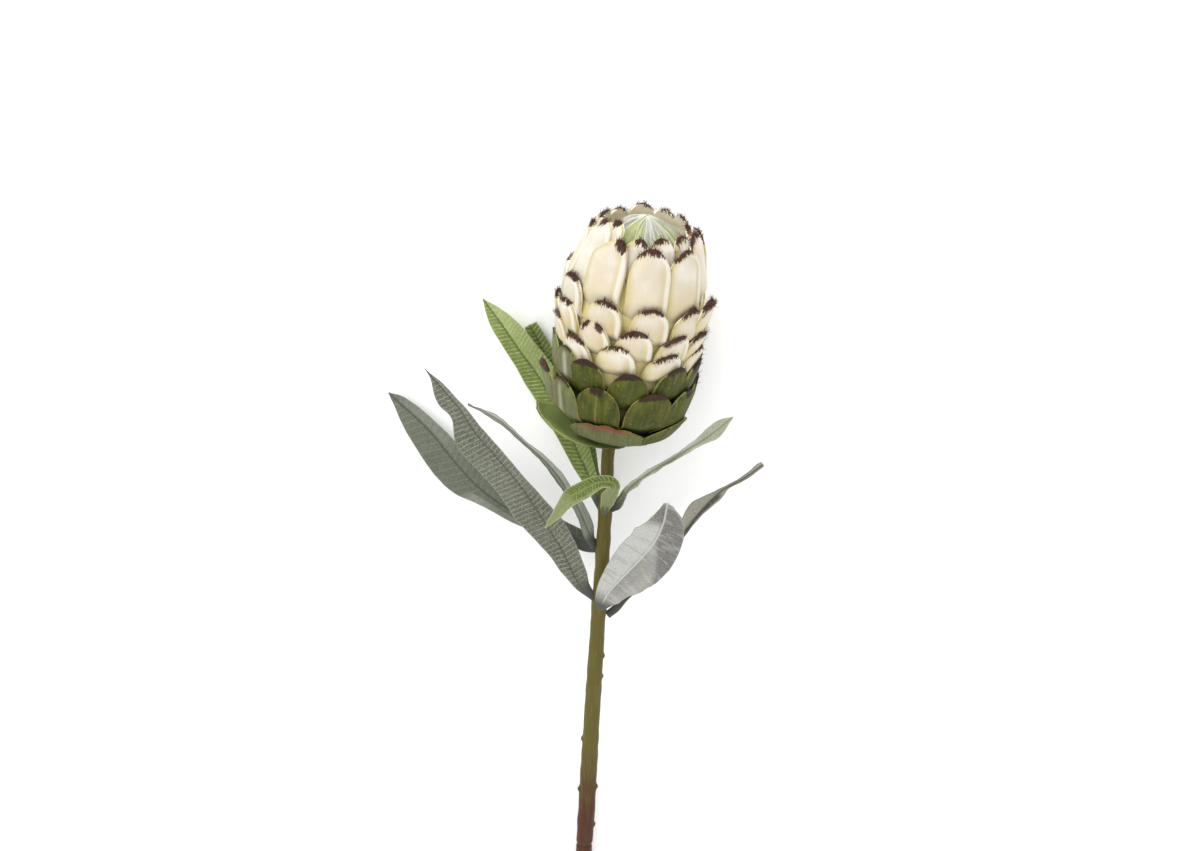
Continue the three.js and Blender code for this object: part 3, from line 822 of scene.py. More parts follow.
@dataclass(frozen=True)
class StemFinish:
    """Coated wire stem, olive turning red brown toward its cut end."""

    olive: Colour = colour(99, 91, 38)
    light: Colour = colour(130, 119, 56)
    brown: Colour = colour(82, 47, 28)
    dark: Colour = colour(58, 40, 24)

    def material(self) -> Material:
        """Makes the material."""
        s = Surface("stem_coat")
        own = s.place()
        lined = s.noise(own, 1.0, 4, stretch=(700.0, 45.0, 700.0))
        cloud = s.noise(own, 50, 4)
        browned = (s.read("share") + (cloud - 0.5) * 0.12).rise(0.66, 0.86)
        tint = s.coats(
            self.olive,
            (browned, self.brown),
            (lined.rise(0.52, 0.75) * (0.45 - browned * 0.25), self.light),
            (s.read("scar").rise(0.15, 1.0) * 0.6, self.dark),
        )
        return s.finish(tint, 0.55, s.bump(lined * 0.6 + cloud * 0.4, 0.35), Specular_IOR_Level=0.2)


@dataclass(frozen=True)
class LeafFinish:
    """Woven leaf fabric: ribs, a midrib, paler and darker areas that are partly its own tone and partly
    painted light and shade, painted highlights and shade of satin creases, and a dark wrapped foot.
    """

    name: str
    base: Colour
    other: Colour
    pale: Colour
    dark: Colour
    rib: Colour
    midrib: Colour
    edge: Colour
    ribbing: float = 0.0
    frosting: float = 0.3
    # Painted highlights and shade of satin wrinkles, drawn only in colour.
    creases: float = 0.0
    weave: float = 0.85
    weaving: float = 0.12
    foot: Colour = colour(84, 86, 80)
    foot_share: float = 0.07
    roughness: float = 0.78

    def material(self) -> Material:
        """Makes the material."""
        s = Surface(self.name)
        own, cloth = s.place(), s.place("cloth")
        parts = s.node("ShaderNodeSeparateXYZ", {"Vector": cloth})
        along, across = (Term(s, parts.outputs[k]) for k in range(2))
        shake = s.noise(own, 260, 2) * 0.22
        warp, weft = (((way + shake) * (math.tau / self.weave)).sine() for way in (across, along))
        weave = warp * weft * 0.5 + 0.5
        grain = s.noise(own, 1500, 3)
        worn = s.noise(own, 420, 3)
        fold = s.noise(cloth, 1.0, 2, stretch=(0.34, 0.07, 1.0))
        tone = s.read("tone")
        stripe = ((s.read("phase") + 0.25) * math.tau).sine()
        ribs = stripe.rise(0.55, 1.0) * s.read("ribbed") * (0.65 + worn.rise(0.3, 0.6) * 0.35)
        tint = s.coats(
            self.base,
            (s.noise(own, 45, 4).rise(0.3, 0.7), self.other),
            # Patch tones: partly the cloth's own tone, partly painted light and shade.
            (tone.rise(0.0, 1.0), self.pale),
            ((tone * -1.0).rise(0.0, 1.0), self.dark),
            # Painted highlight and painted shade of satin creases.
            ((fold.rise(0.52, 0.66) * self.creases).least(0.8), self.pale),
            (((1 - fold.rise(0.34, 0.48)) * self.creases * 0.7).least(0.8), self.dark),
            ((grain.rise(0.5, 0.66) * self.frosting * 1.4).least(0.9), self.rib),
            (((1 - grain.rise(0.34, 0.5)) * self.frosting * 1.3).least(0.9), self.dark),
            (weave * self.weaving, self.rib),
            (ribs * self.ribbing, self.rib),
            ((1 - abs(across).rise(0.25, 0.8)) * 0.75, self.midrib),
            ((1 - s.read("margin").rise(0.1, 0.7)) * 0.7, self.edge),
            (1 - s.read("share").rise(self.foot_share * 0.5, self.foot_share * 1.5), self.foot),
        )
        normal = s.bump(weave * 0.35 + grain * 0.65, 0.16)
        return s.finish(tint, self.roughness, normal, Specular_IOR_Level=0.25, Sheen_Weight=0.1)

    def thread(self) -> Material:
        """Makes the material of the threads in its ribs."""
        s = Surface(f"{self.name}_thread")
        tint = s.coats(self.rib, (s.noise(s.place(), 900, 3).rise(0.4, 0.65), self.base))
        return s.finish(tint, 0.8, Specular_IOR_Level=0.2)


def cloth(name: str, *tones: tuple[int, int, int], **settings: float) -> LeafFinish:
    """Leaf cloth from the sRGB tones base, other, pale, dark, rib, midrib and edge."""
    return LeafFinish(name, *(colour(*tone) for tone in tones), **settings)


@dataclass(frozen=True)
class HeadShape:
    """The head's place and outline."""

    rise: float = 6.0
    swing: float = 8.5
    base_height: float = 36.7
    rest_along: float = 48.0
    outline: Table = ((0, 24), (1, 26.5), (7.5, 33), (20, 40), (32, 41.4), (45, 42.2), (57, 43.2),
                      (76, 44.6), (95, 42.6), (114, 38), (123, 35), (133, 28))
    core: Table = ((0, 17), (8, 27), (22, 34), (55, 36.5), (80, 38), (104, 33))
    core_seam: float = 40.0
    core_end: float = 104.0

    @property
    def axis(self) -> Array:
        """Heading from the head's base to its tip."""
        rise, swing = math.radians(self.rise), math.radians(self.swing)
        return np.array([math.sin(swing) * math.cos(rise), math.cos(swing) * math.cos(rise), math.sin(rise)])

    @property
    def base(self) -> Array:
        """Middle of the head's base."""
        back = -self.axis * self.rest_along
        return np.array([back[0], back[1], self.base_height])

    def place(self, turn: Array, along: Array, radius: Array) -> Array:
        """Points on the head.

        Args:
            turn: Angle about the axis from its upper side toward +X, in radians.
            along: Distance from the base along the axis.
            radius: Distance from the axis.

        Returns:
            The points.
        """
        axis = self.axis
        return self.base + axis * along[..., None] + spokes(axis, turn) * radius[..., None]


@dataclass(frozen=True)
class BractRow:
    """One ring of bracts, as in the part's source."""

    name: str
    count: int
    turn: float
    tip: float
    shows: float
    half: float
    length: float
    rounding: float
    out: float
    # Painted shade over the whole row, for rows that face away from the light.
    age: float
    own: dict[int, dict[str, Any]] = field(default_factory=dict)


@dataclass(frozen=True)
class Bract:
    """One bract of a ring. Its tufts are places across it, half spans and heights."""

    turn: float
    tip: float
    tufts: tuple[Point, ...]
    lean: float
    point: float
    out: float = 0.0
    wide: float = 1.0
    skew: float = 0.0
    ruffle: float = 0.0
    fold: float = 0.0
    reach: float = 1.0
    # A paler, greyer coat: partly frosting, partly painted light on bracts that face the light.
    frost_and_light: float = 0.0
    blush: float = 0.0
    fuzz: float = 0.0


@dataclass(frozen=True)
class BractForm:
    """Section and tip of a kind of bract.

    The groove's place and width are multiples of the rim's. Pairs say where a soft step
    starts and ends. Those of reach and handed are left and right, that of lowest is outer
    and inner face, and ranges are what random numbers are drawn from.
    """

    thick: float
    puff: float
    rim: float
    rim_at: float
    rim_width: float
    groove: float
    edge_round: float
    tuft: float
    tuft_span: float
    tuft_shift: float
    reach: Pair
    crease: float = 0.0
    crease_width: float = 1.3
    point: float = 0.0
    groove_at: float = 2.9
    groove_width: float = 0.8
    padding: Pair = (0.4, 7.5)
    handed: Pair = (0.1, 1.2)
    hand_step: Pair = (-0.3, 0.75)
    crease_step: Pair = (2, 8)
    ruffles: float = 11.0
    inner_tuft: float = 1.3
    tuft_corner: float = 3.6
    tuft_fall: float = 2.2
    tuft_fade: Pair = (0.45, 1.0)
    bristle_step: Pair = (-0.5, 0.4)
    sparse: float = 0.55
    sparse_step: Pair = (0.3, 2.2)
    table_step: Pair = (2.5, 6.0)
    blush_step: Pair = (0.5, 5.0)
    blush_sides: Pair = (0.3, 0.75)
    fold_width: float = 0.6
    fold_spread: float = 2.4
    fold_step: Pair = (2, 6)
    jitter_turn: float = 1.2
    jitter_tip: float = 0.7
    tuft_range: Pair = (0.85, 1.15)
    span_range: Pair = (0.9, 1.1)
    shift_range: float = 0.1
    lean_range: float = 0.5
    along_hair: float = 0.8
    out_hair: float = 0.5
    sink: float = 2.6
    root_dive: float = 5.0
    root_share: float = 0.4
    lean_share: float = 0.3
    tip_chord: float = 0.85
    lowest: Pair = (0.05, 0.35)


@dataclass
class Bracts:
    """The bracts of one colour, ring by ring, round their part of the core."""

    name: str
    head: HeadShape
    form: BractForm
    rows: tuple[BractRow, ...]
    seed: int = 11
    columns: int = 37
    side_packing: float = 0.38
    first_lines: int = 19
    line_step: float = 1.4
    tip_packing: float = 1.7
    corner: float = 3.0
    core_rings: int = 22
    core_sides: int = 72

    def _stream(self, row: BractRow) -> Callable[[], float]:
        """The same repeatable numbers from -1 to 1 as the solids use."""
        state = self.seed * row.tip

        def following() -> float:
            nonlocal state
            state = math.fmod(state * STREAM_FACTOR + STREAM_STEP, STREAM_RANGE)
            return state / STREAM_RANGE * 2 - 1

        return following

    def bracts(self, row: BractRow) -> list[Bract]:
        """The single bracts of a ring."""
        following = self._stream(row)
        extra = np.random.default_rng(int(row.tip * 10))
        form = self.form
        found = []
        for k in range(row.count):
            own = dict(row.own.get(k, {}))
            turn = row.turn + 360 / row.count * k + own.pop("turn", 0) + form.jitter_turn * following()
            tip = row.tip + own.pop("tip", 0) + form.jitter_tip * following()
            height = form.tuft * extra.uniform(*form.tuft_range) * own.pop("tuft", 1.0)
            shift = own.pop("shift", form.tuft_shift + extra.uniform(-form.shift_range, form.shift_range))
            span = own.pop("span", form.tuft_span * extra.uniform(*form.span_range))
            lean = extra.uniform(-form.lean_range, form.lean_range)
            usual = {"tufts": ((shift, span, height),), "lean": lean, "point": form.point}
            found.append(Bract(math.radians(turn), tip, **(usual | own)))
        return found

    def _outline(self, row: BractRow, bract: Bract) -> tuple[Array, ...]:
        """Lays a bract's grid on its outline.

        Args:
            row: The bract's ring.
            bract: The bract.

        Returns:
            Place across from -1 to 1, distance from the tip, share of the length, distance
            along the head's axis, half width and distance from the edge.
        """
        chord = self.form.tip_chord
        edge = np.linspace(-1, 1, self.columns)
        v = ((1 - self.side_packing) * edge + self.side_packing * np.sin(edge * math.pi / 2))[None, :]
        count = self.first_lines + int(row.length / self.line_step)
        from_tip = (row.length * (np.linspace(1, 0, count) ** self.tip_packing))[:, None]
        u = 1 - from_tip / row.length
        skewed = v - bract.skew * (1 - v * v)
        drop = row.rounding * (1 - np.sqrt(1 - (chord * skewed) ** 2))
        drop = drop + bract.point * (np.abs(skewed) - skewed ** 2)
        drop = drop + bract.ruffle * (1 - np.cos(v * self.form.ruffles + bract.turn)) * (1 - v * v)
        side_drop = row.rounding * (1 - math.sqrt(1 - chord ** 2))
        root = bract.tip - row.length
        along = lerp(root, bract.tip - drop, u)
        shoulder = np.clip(bract.tip - lerp(root, bract.tip - side_drop, u), 0, row.rounding)
        width = row.half * bract.wide * np.sqrt(1 - (1 - shoulder / row.rounding) ** 2)
        from_side = np.maximum((1 - np.abs(v)) * width, LEAST)
        ahead = np.maximum(from_tip, LEAST)
        margin = (from_side ** -self.corner + ahead ** -self.corner) ** (-1 / self.corner)
        return v, from_tip, u, along, width, margin

    def _add(self, mesher: Mesher, row: BractRow, bract: Bract) -> None:
        """Adds one bract to the ring's mesh."""
        form = self.form
        v, from_tip, u, along, width, margin = self._outline(row, bract)
        below = bract.tip - along
        handed = lerp(*form.handed, smoothstep(v, *form.hand_step))
        raised = form.rim * handed * bell(margin - form.rim_at, form.rim_width)
        groove = bell(margin - form.rim_at * form.groove_at, form.rim_width * form.groove_width)
        groove = form.groove * handed * groove
        crease = form.crease * bell(v * width, form.crease_width) * smoothstep(from_tip, *form.crease_step)
        relief = form.puff * smoothstep(margin, *form.padding) + raised - groove - crease
        inside = np.clip(margin, 0, form.edge_round)
        curve = form.edge_round - np.sqrt(form.edge_round ** 2 - (form.edge_round - inside) ** 2)
        dive = form.root_dive * (1 - smoothstep(u, 0, form.root_share))
        sink = form.sink * below / row.shows + dive
        lean = bract.lean * v * smoothstep(u, form.lean_share, 1)
        base = read_table(self.head.outline, along) + row.out + bract.out * smoothstep(u, 0, 1) - sink + lean
        turn = bract.turn + v * width / base
        outer = self.head.place(turn, along, base + relief - curve)
        inner = self.head.place(turn, along, base - form.thick + curve)
        for face, lowest in zip((outer, inner), form.lowest, strict=True):
            face[..., 2] = np.maximum(face[..., 2], lowest)
        shape = outer.shape[:2]
        ahead, sideways = np.gradient(outer, axis=0), np.gradient(outer, axis=1)
        crescent = self._crescent(bract, v, margin, below)
        blush = (1 - smoothstep(margin, *form.blush_step)) * (1 - smoothstep(abs(v), *form.blush_sides))
        fold = bell(v * width, form.fold_width + form.fold_spread * bract.frost_and_light)
        numbers = {
            "margin": margin,
            "hand": v,
            "covered": np.clip(below / row.shows, 0, 1.5),
            "tuft": crescent,
            "bristle": self._marked(crescent, margin, outer[..., 2]),
            "frost_and_light": bract.frost_and_light,
            "blush": bract.blush * blush,
            "fold": bract.fold * fold * smoothstep(from_tip, *form.fold_step),
            "age": row.age,
            "inner": 0.0,
            "fuzz": bract.fuzz,
        }
        numbers = {name: np.broadcast_to(value, shape) for name, value in numbers.items()}
        outward = unit(np.cross(sideways, ahead))
        numbers["grow"] = unit(unit(ahead) * form.along_hair + outward * form.out_hair)
        place = np.broadcast_arrays(v * width, -from_tip, bract.turn * 40)
        numbers["blade"] = np.stack(place, axis=-1)
        # The lower face is marked inner, which gets painted light.
        mesher.blade(outer, inner, numbers, below={
            "tuft": crescent - form.inner_tuft, "bristle": 0.0, "covered": 0.15, "blush": 0.0, "inner": 1.0,
        })

    def _crescent(self, bract: Bract, v: Array, margin: Array, below: Array) -> Array:
        """How far inside a tuft's edge each point is, in millimetres, negative outside it.

        Args:
            bract: The bract.
            v: Place across it, from -1 to 1.
            margin: Distance from the bract's edge.
            below: Distance down from its tip.

        Returns:
            The distance at each point.
        """
        form = self.form
        reach = bract.reach * lerp(*form.reach, smoothstep(v, -0.5, 0.5))
        fade = 1 - smoothstep(below / reach, *form.tuft_fade)
        deepest = np.full_like(margin, -NOWHERE)
        for shift, span, height in bract.tufts:
            profile = np.clip(1 - np.abs((v - shift) / span) ** form.tuft_corner, 0, 1) * fade
            deepest = np.maximum(deepest, height * profile - form.tuft_fall * (1 - profile))
        return deepest - margin

    def _marked(self, crescent: Array, margin: Array, height: Array) -> Array:
        """Where bristles grow: on the tufts, densest at the bract's edge, none near the table."""
        form = self.form
        mark = smoothstep(crescent, *form.bristle_step)
        mark = mark * lerp(1.0, form.sparse, smoothstep(margin, *form.sparse_step))
        return mark * smoothstep(height, *form.table_step)

    def build(self, row: BractRow, material: Material) -> Object:
        """Makes one ring."""
        mesher = Mesher()
        for bract in self.bracts(row):
            self._add(mesher, row, bract)
        return mesher.build(f"{self.name}_{row.name}", material)

    def core(self, low: float, high: float, material: Material) -> Object:
        """Makes the core between two distances along the axis."""
        places = [np.linspace(low, high, self.core_rings), [p for p, _ in self.head.core]]
        places = np.unique(np.concatenate(places))
        places = places[(places >= low) & (places <= high)]
        along, turn = np.broadcast_arrays(places[:, None], around(self.core_sides))
        mesher = Mesher()
        mesher.tube(self.head.place(turn, along, read_table(self.head.core, along)), {"share": along / 100})
        return mesher.build(f"{self.name}_core", material)


@dataclass
class FloretDome:
    """The dome of florets in the head's mouth, with silky fibres over it."""

    head: HeadShape
    outline: Table = ((104.3, 22.8), (112, 23.2), (117.5, 22.2), (122, 19.2), (126.5, 14.2),
                      (130, 8.6), (132.4, 4), (133.4, 0.6))
    pleats: int = 22
    pleat_depth: float = 0.05
    fibres: int = 90
    bundles: tuple[tuple[float, float, int], ...] = ((-112, -62, 75), (-14, 42, 34))
    hood: Pair = (-62, -16)
    hood_edge: float = 0.1
    pleat_sides: int = 8
    rings: int = 46
    steps: int = 12
    starts: Pair = (0.93, 1.0)
    ends: Pair = (0.05, 0.6)
    wander: float = 0.05
    lift: float = 0.25
    arch: float = 0.9
    thick: Pair = (0.1, 0.26)
    taper: float = 0.75
    weave: Pair = (20, 40)
    seed: int = 23

    def _line(self, share: Array) -> list[Array]:
        """Distance along the axis and radius at shares of the outline, from the rim to the apex."""
        table = np.array(self.outline)
        steps = np.concatenate([[0], np.cumsum(np.linalg.norm(np.diff(table, axis=0), axis=1))])
        return [np.interp(share, steps / steps[-1], table[:, k]) for k in range(2)]

    def _place(self, turn: Array, share: Array, lift: Array) -> Array:
        """Points over the dome."""
        along, radius = self._line(share)
        ripple = 1 + self.pleat_depth * np.cos(self.pleats * turn)
        slope = smoothstep(share, 0.35, 1.0)
        return self.head.place(turn, along + lift * slope, radius * ripple + lift * (1 - slope))

    def surface(self, material: Material) -> Object:
        """Makes the pleated dome."""
        share = np.linspace(0, 1, self.rings)[:, None]
        turn, share = np.broadcast_arrays(around(self.pleats * self.pleat_sides), share)
        start, end = (math.radians(limit) for limit in self.hood)
        hood = between((turn + math.pi) % math.tau - math.pi, start, end, self.hood_edge)
        # The pleats' ridges are painted paler than their folds, a painted highlight and shade, much less
        # over the hood, whose yellow-green is its own.
        tint = (0.5 + 0.4 * np.cos(self.pleats * turn)) * (1 - 0.8 * hood)
        around_scale, along_scale = self.weave
        blade = np.stack([turn * around_scale, share * along_scale, 0 * turn], axis=-1)
        mesher = Mesher()
        mesher.tube(self._place(turn, share, 0 * share), {"tint": tint, "blade": blade})
        return mesher.build("floret_dome_pleats", material)

    def threads(self) -> Mesher:
        """Draws the fibres, from near the apex down over the dome."""
        random = np.random.default_rng(self.seed)
        turns = [random.uniform(0, math.tau, self.fibres)]
        turns += [np.radians(random.uniform(start, end, count)) for start, end, count in self.bundles]
        turn = np.concatenate(turns)[:, None]
        size = (len(turn), 1)
        start = random.uniform(*self.starts, size)
        end = random.uniform(*self.ends, size)
        step = np.linspace(0, 1, self.steps)[None, :]
        wander = random.normal(0, self.wander, size) * step + self.wander * np.sin(step * 5 + turn * 9)
        arch = self.arch * np.abs(random.normal(0, 1, size))
        thick = random.uniform(*self.thick, size) * (1 - self.taper * step ** 2)
        tint = random.uniform(0, 1, size)
        lift = self.lift + arch * np.sin(step * math.pi) ** 2
        mesher = Mesher()
        mesher.lines(self._place(turn + wander, lerp(start, end, step), lift), thick, tint=tint)
        return mesher


@dataclass
class Stem:
    """The stem, from inside the head to its cut end."""

    head: HeadShape
    socket: float = 6.0
    route: tuple[Point, ...] = (
        (-9.1, -56, 35.4), (-10.9, -90, 31.9), (-13.3, -132, 27.4), (-15.9, -174, 22.8),
        (-19.4, -234, 16.2), (-22.7, -296, 9.4), (-25.4, -340, 4.95))
    radii: Table = ((0, 3.6), (0.3, 4.1), (0.45, 4.4), (0.65, 4.8), (0.86, 5.1), (0.92, 4.7), (1, 4.8))
    nodes: tuple[float, ...] = (0.181, 0.257, 0.381)
    swell: float = 0.3
    reach: float = 6.0
    scars: Table = ((0.49, -80), (0.536, -100), (0.674, 95), (0.777, -90), (0.784, 88), (0.862, -95))
    scar_length: float = 1.5
    scar_width: float = 1.7
    scar_height: float = 1.05
    ring_share: float = 0.905
    ring_width: float = 0.9
    ring_depth: float = 0.55
    lumps: int = 26
    lump_height: float = 0.035
    lump_waves: Pair = (8, 60)
    lump_lobes: int = 5
    sides: int = 48
    rings: int = 380
    seed: int = 3

    def __post_init__(self) -> None:
        """Lays out the stem's line."""
        inside = self.head.base + self.head.axis * self.socket
        self.line = Route([inside, self.head.base, *self.route])

    def _from(self, share: Array, place: float) -> Array:
        """Distance along the stem from a place on it."""
        return (share - place) * self.line.length

    def place(self, share: Array, turn: Array, lift: Array) -> tuple[Array, Array]:
        """Points on the stem and how far each is on a scar.

        Args:
            share: Share of the stem's length.
            turn: Angle about it from its upper side toward +X, in radians.
            lift: Extra radius.

        Returns:
            The points, and the scar mask from 0 to 1.
        """
        radius = read_table(self.radii, share)
        swell = np.max([bell(self._from(share, node), self.reach) for node in self.nodes], axis=0)
        marks = np.zeros_like(share)
        for place, degrees in self.scars:
            away = turn - math.radians(degrees)
            across = np.arctan2(np.sin(away), np.cos(away)) * radius / self.scar_width
            along = self._from(share, place) / self.scar_length
            marks = np.maximum(marks, np.exp(-(along ** 2 + across ** 2)))
        ring = bell(self._from(share, self.ring_share), self.ring_width)
        radius = radius + self.swell * swell + self.scar_height * marks - self.ring_depth * ring + lift
        spoke = spokes(self.line.tangents(share), turn)
        return self.line.points(share) + spoke * radius[..., None], np.maximum(marks, ring)

    def build(self, material: Material) -> Object:
        """Makes the stem."""
        share, turn = np.broadcast_arrays(np.linspace(0, 1, self.rings)[:, None], -around(self.sides))
        random = np.random.default_rng(self.seed)
        lumps = np.zeros_like(share)
        for _ in range(self.lumps):
            waves = random.uniform(*self.lump_waves)
            lobes = random.integers(1, self.lump_lobes)
            phase, other = random.uniform(0, 6.3, 2)
            wave = self.lump_height * np.sin(share * waves * 3 + phase)
            lumps += wave * np.cos(turn * lobes + other)
        points, marks = self.place(share, turn, lumps)
        mesher = Mesher()
        mesher.tube(points, {"share": share, "scar": marks})
        return mesher.build("stem_coated", material)


@dataclass(frozen=True)
class EdgeLift:
    """A stretch of a leaf where one margin rises."""

    share: float
    reach: float
    side: float
    rise: float


@dataclass(frozen=True)
class Patch:
    """A paler or darker area of a leaf, between two shares and two places across: some are the cloth's own
    tone, others painted highlights and painted shade.
    """

    shares: Pair
    across: Pair
    tone: float
    blur: float = 0.03
    skew: float = 0.0
    side_blur: float = 0.1

    def read(self, share: Array, v: Array) -> Array:
        """The area's tone at each point, 0 outside it."""
        along = between(share - self.skew * np.abs(v), *self.shares, self.blur)
        return self.tone * along * between(v, *self.across, self.side_blur)


@dataclass(frozen=True)
class Ribs:
    """Rib threads of a leaf."""

    pitch: float
    slant: float
    thick: float
    gaps: float = 0.0
    spans: tuple[Pair, ...] = ((0.0, 1.0),)
    first: float = 0.12
    last: float = 0.97
    reach: float = 0.93
    relief: float = 0.12
    span_blur: float = 0.02
    sunk: float = 0.35
    furthest: float = 0.995
    steps: int = 12
    shake: float = 0.06
    thinned: float = 0.35
    taper: float = 0.6


@dataclass
class Leaf:
    """One leaf: its midrib, its widths on both sides, its roll and its fine form."""

    name: str
    node: str
    slot: Slot
    finish: LeafFinish
    roll: Pair
    wave: float
    points: tuple[Point, ...]
    left: Table
    right: Table
    cup: float = 0.16
    ribs: Ribs | None = None
    lifts: tuple[EdgeLift, ...] = ()
    patches: tuple[Patch, ...] = ()
    seed: int = 1
    ruffle: float = 0.35
    ruffles: Pair = (41.0, 97.0)
    waves: float = 15.0
    stalk_thick: float = 2.2
    stalk_share: float = 0.08
    stalk_fade: Pair = (0.5, 1.6)
    least: float = 0.5
    groove: float = 0.35
    groove_width: float = 0.8
    middle: float = 0.9
    edge: float = 0.45
    columns: int = 33
    line_step: float = 0.6
    cloth_step: float = 7.3

    def __post_init__(self) -> None:
        """Lays out the midrib and the widths."""
        self.line = Route(self.points)
        self.widths = (Width(self.left), Width(self.right))

    def width(self, share: Array, v: Array) -> Array:
        """Width on the side of the midrib that v is on."""
        left, right = (side.read(share) for side in self.widths)
        return np.maximum(self.least, np.where(v < 0, left, right))

    def stalk(self, share: Array) -> Array:
        """1 on the stalk, 0 on the blade."""
        start, end = (self.stalk_share * part for part in self.stalk_fade)
        return 1 - smoothstep(share, start, end)

    def _rise(self, share: Array, v: Array, width: Array) -> Array:
        """Height of the blade's middle layer over its flat form."""
        size = np.abs(v)
        rise = self.cup * width * size ** 1.5 + self.wave * v * size * np.sin(share * self.waves)
        slow, fast = self.ruffles
        ripple = np.sin(share * slow + self.seed * 1.7 + 1.3 * np.sign(v))
        ripple = ripple + 0.5 * np.sin(share * fast + self.seed)
        rise = rise + self.ruffle * size ** 2 * ripple - self.groove * bell(v * width, self.groove_width)
        for lifted in self.lifts:
            near = bell(share - lifted.share, lifted.reach)
            rise = rise + lifted.rise * near * np.clip(v * lifted.side, 0, 1) ** 2
        if self.ribs is not None:
            ribbed = self.ribs.relief * np.cos(self.phase(share, v) * math.tau) * self.ribbed(share)
            rise = rise + ribbed * size ** 0.5
        return rise

    def place(self, share: Array, v: Array, side: Side, lift: Array | float = 0.0) -> Array:
        """Points on a face of the leaf.

        Args:
            share: Share of the leaf's length.
            v: Place across it, from -1 to 1.
            side: The face.
            lift: Height above that face.

        Returns:
            The points.
        """
        heading = self.line.tangents(share)
        roll = np.radians(lerp(*self.roll, share))[..., None]
        flat = unit(np.cross(heading, UP))
        across = flat * np.cos(roll) + np.cross(heading, flat) * np.sin(roll)
        normal = np.cross(across, heading)
        width = self.width(share, v)
        blade = 1 - self.stalk(share)
        size = np.abs(v)
        thick = lerp(self.stalk_thick * np.sqrt(1.02 - size ** 2), lerp(self.middle, self.edge, size), blade)
        height = self._rise(share, v, width) * blade + side.value * (thick / 2 + lift)
        return self.line.points(share) + across * (v * width)[..., None] + normal * height[..., None]

    def phase(self, share: Array, v: Array) -> Array:
        """Number of ribs from the leaf's foot, counted along the slanting ribs."""
        along = share * self.line.length - self.ribs.slant * np.abs(v) * self.width(share, v)
        return along / self.ribs.pitch

    def ribbed(self, share: Array) -> Array:
        """1 where the leaf has ribs."""
        spans = [between(share, start, end, self.ribs.span_blur) for start, end in self.ribs.spans]
        return np.max(spans, axis=0) * (1 - self.stalk(share))

    def build(self, material: Material) -> Object:
        """Makes the leaf's blade."""
        length = self.line.length
        share = np.linspace(0, 1, int(length / self.line_step))[:, None]
        share, v = np.broadcast_arrays(share, np.linspace(-1, 1, self.columns)[None, :])
        width = self.width(share, v)
        bare = np.zeros_like(share)
        mesher = Mesher()
        mesher.blade(self.place(share, v, Side.UPPER), self.place(share, v, Side.LOWER), {
            "cloth": np.stack([share * length, v * width, bare + self.seed * self.cloth_step], axis=-1),
            "share": share,
            "margin": np.minimum((1 - np.abs(v)) * width, (1 - share) * length),
            "phase": bare if self.ribs is None else self.phase(share, v),
            "ribbed": bare if self.ribs is None else self.ribbed(share),
            "tone": sum((patch.read(share, v) for patch in self.patches), bare),
        })
        return mesher.build(self.name, material)

    def rib_lines(self) -> Mesher:
        """Draws the rib threads on both faces."""
        ribs = self.ribs
        random = np.random.default_rng(self.seed)
        mesher = Mesher()
        length = self.line.length
        starts = np.arange(math.ceil(ribs.first * length / ribs.pitch), int(ribs.last * length / ribs.pitch))
        starts = starts[self.ribbed(starts * ribs.pitch / length) > 0.5] * ribs.pitch
        step = np.linspace(0.05, ribs.reach, ribs.steps)[None, :]
        for side in Side:
            for hand in (-1.0, 1.0):
                start = starts[:, None] + random.normal(0, ribs.shake, (len(starts), 1)) * ribs.pitch
                share, v = np.broadcast_arrays(start / length, hand * step)
                for _ in range(3):
                    share = (start + ribs.slant * step * self.width(share, v)) / length
                    share = np.minimum(share, ribs.furthest)
                broken = np.where(random.uniform(0, 1, share.shape) < ribs.gaps, ribs.thinned, 1.0)
                thick = ribs.thick * (1 - ribs.taper * step ** 3) * broken
                mesher.lines(self.place(share, v, side, -thick * ribs.sunk), thick)
        return mesher


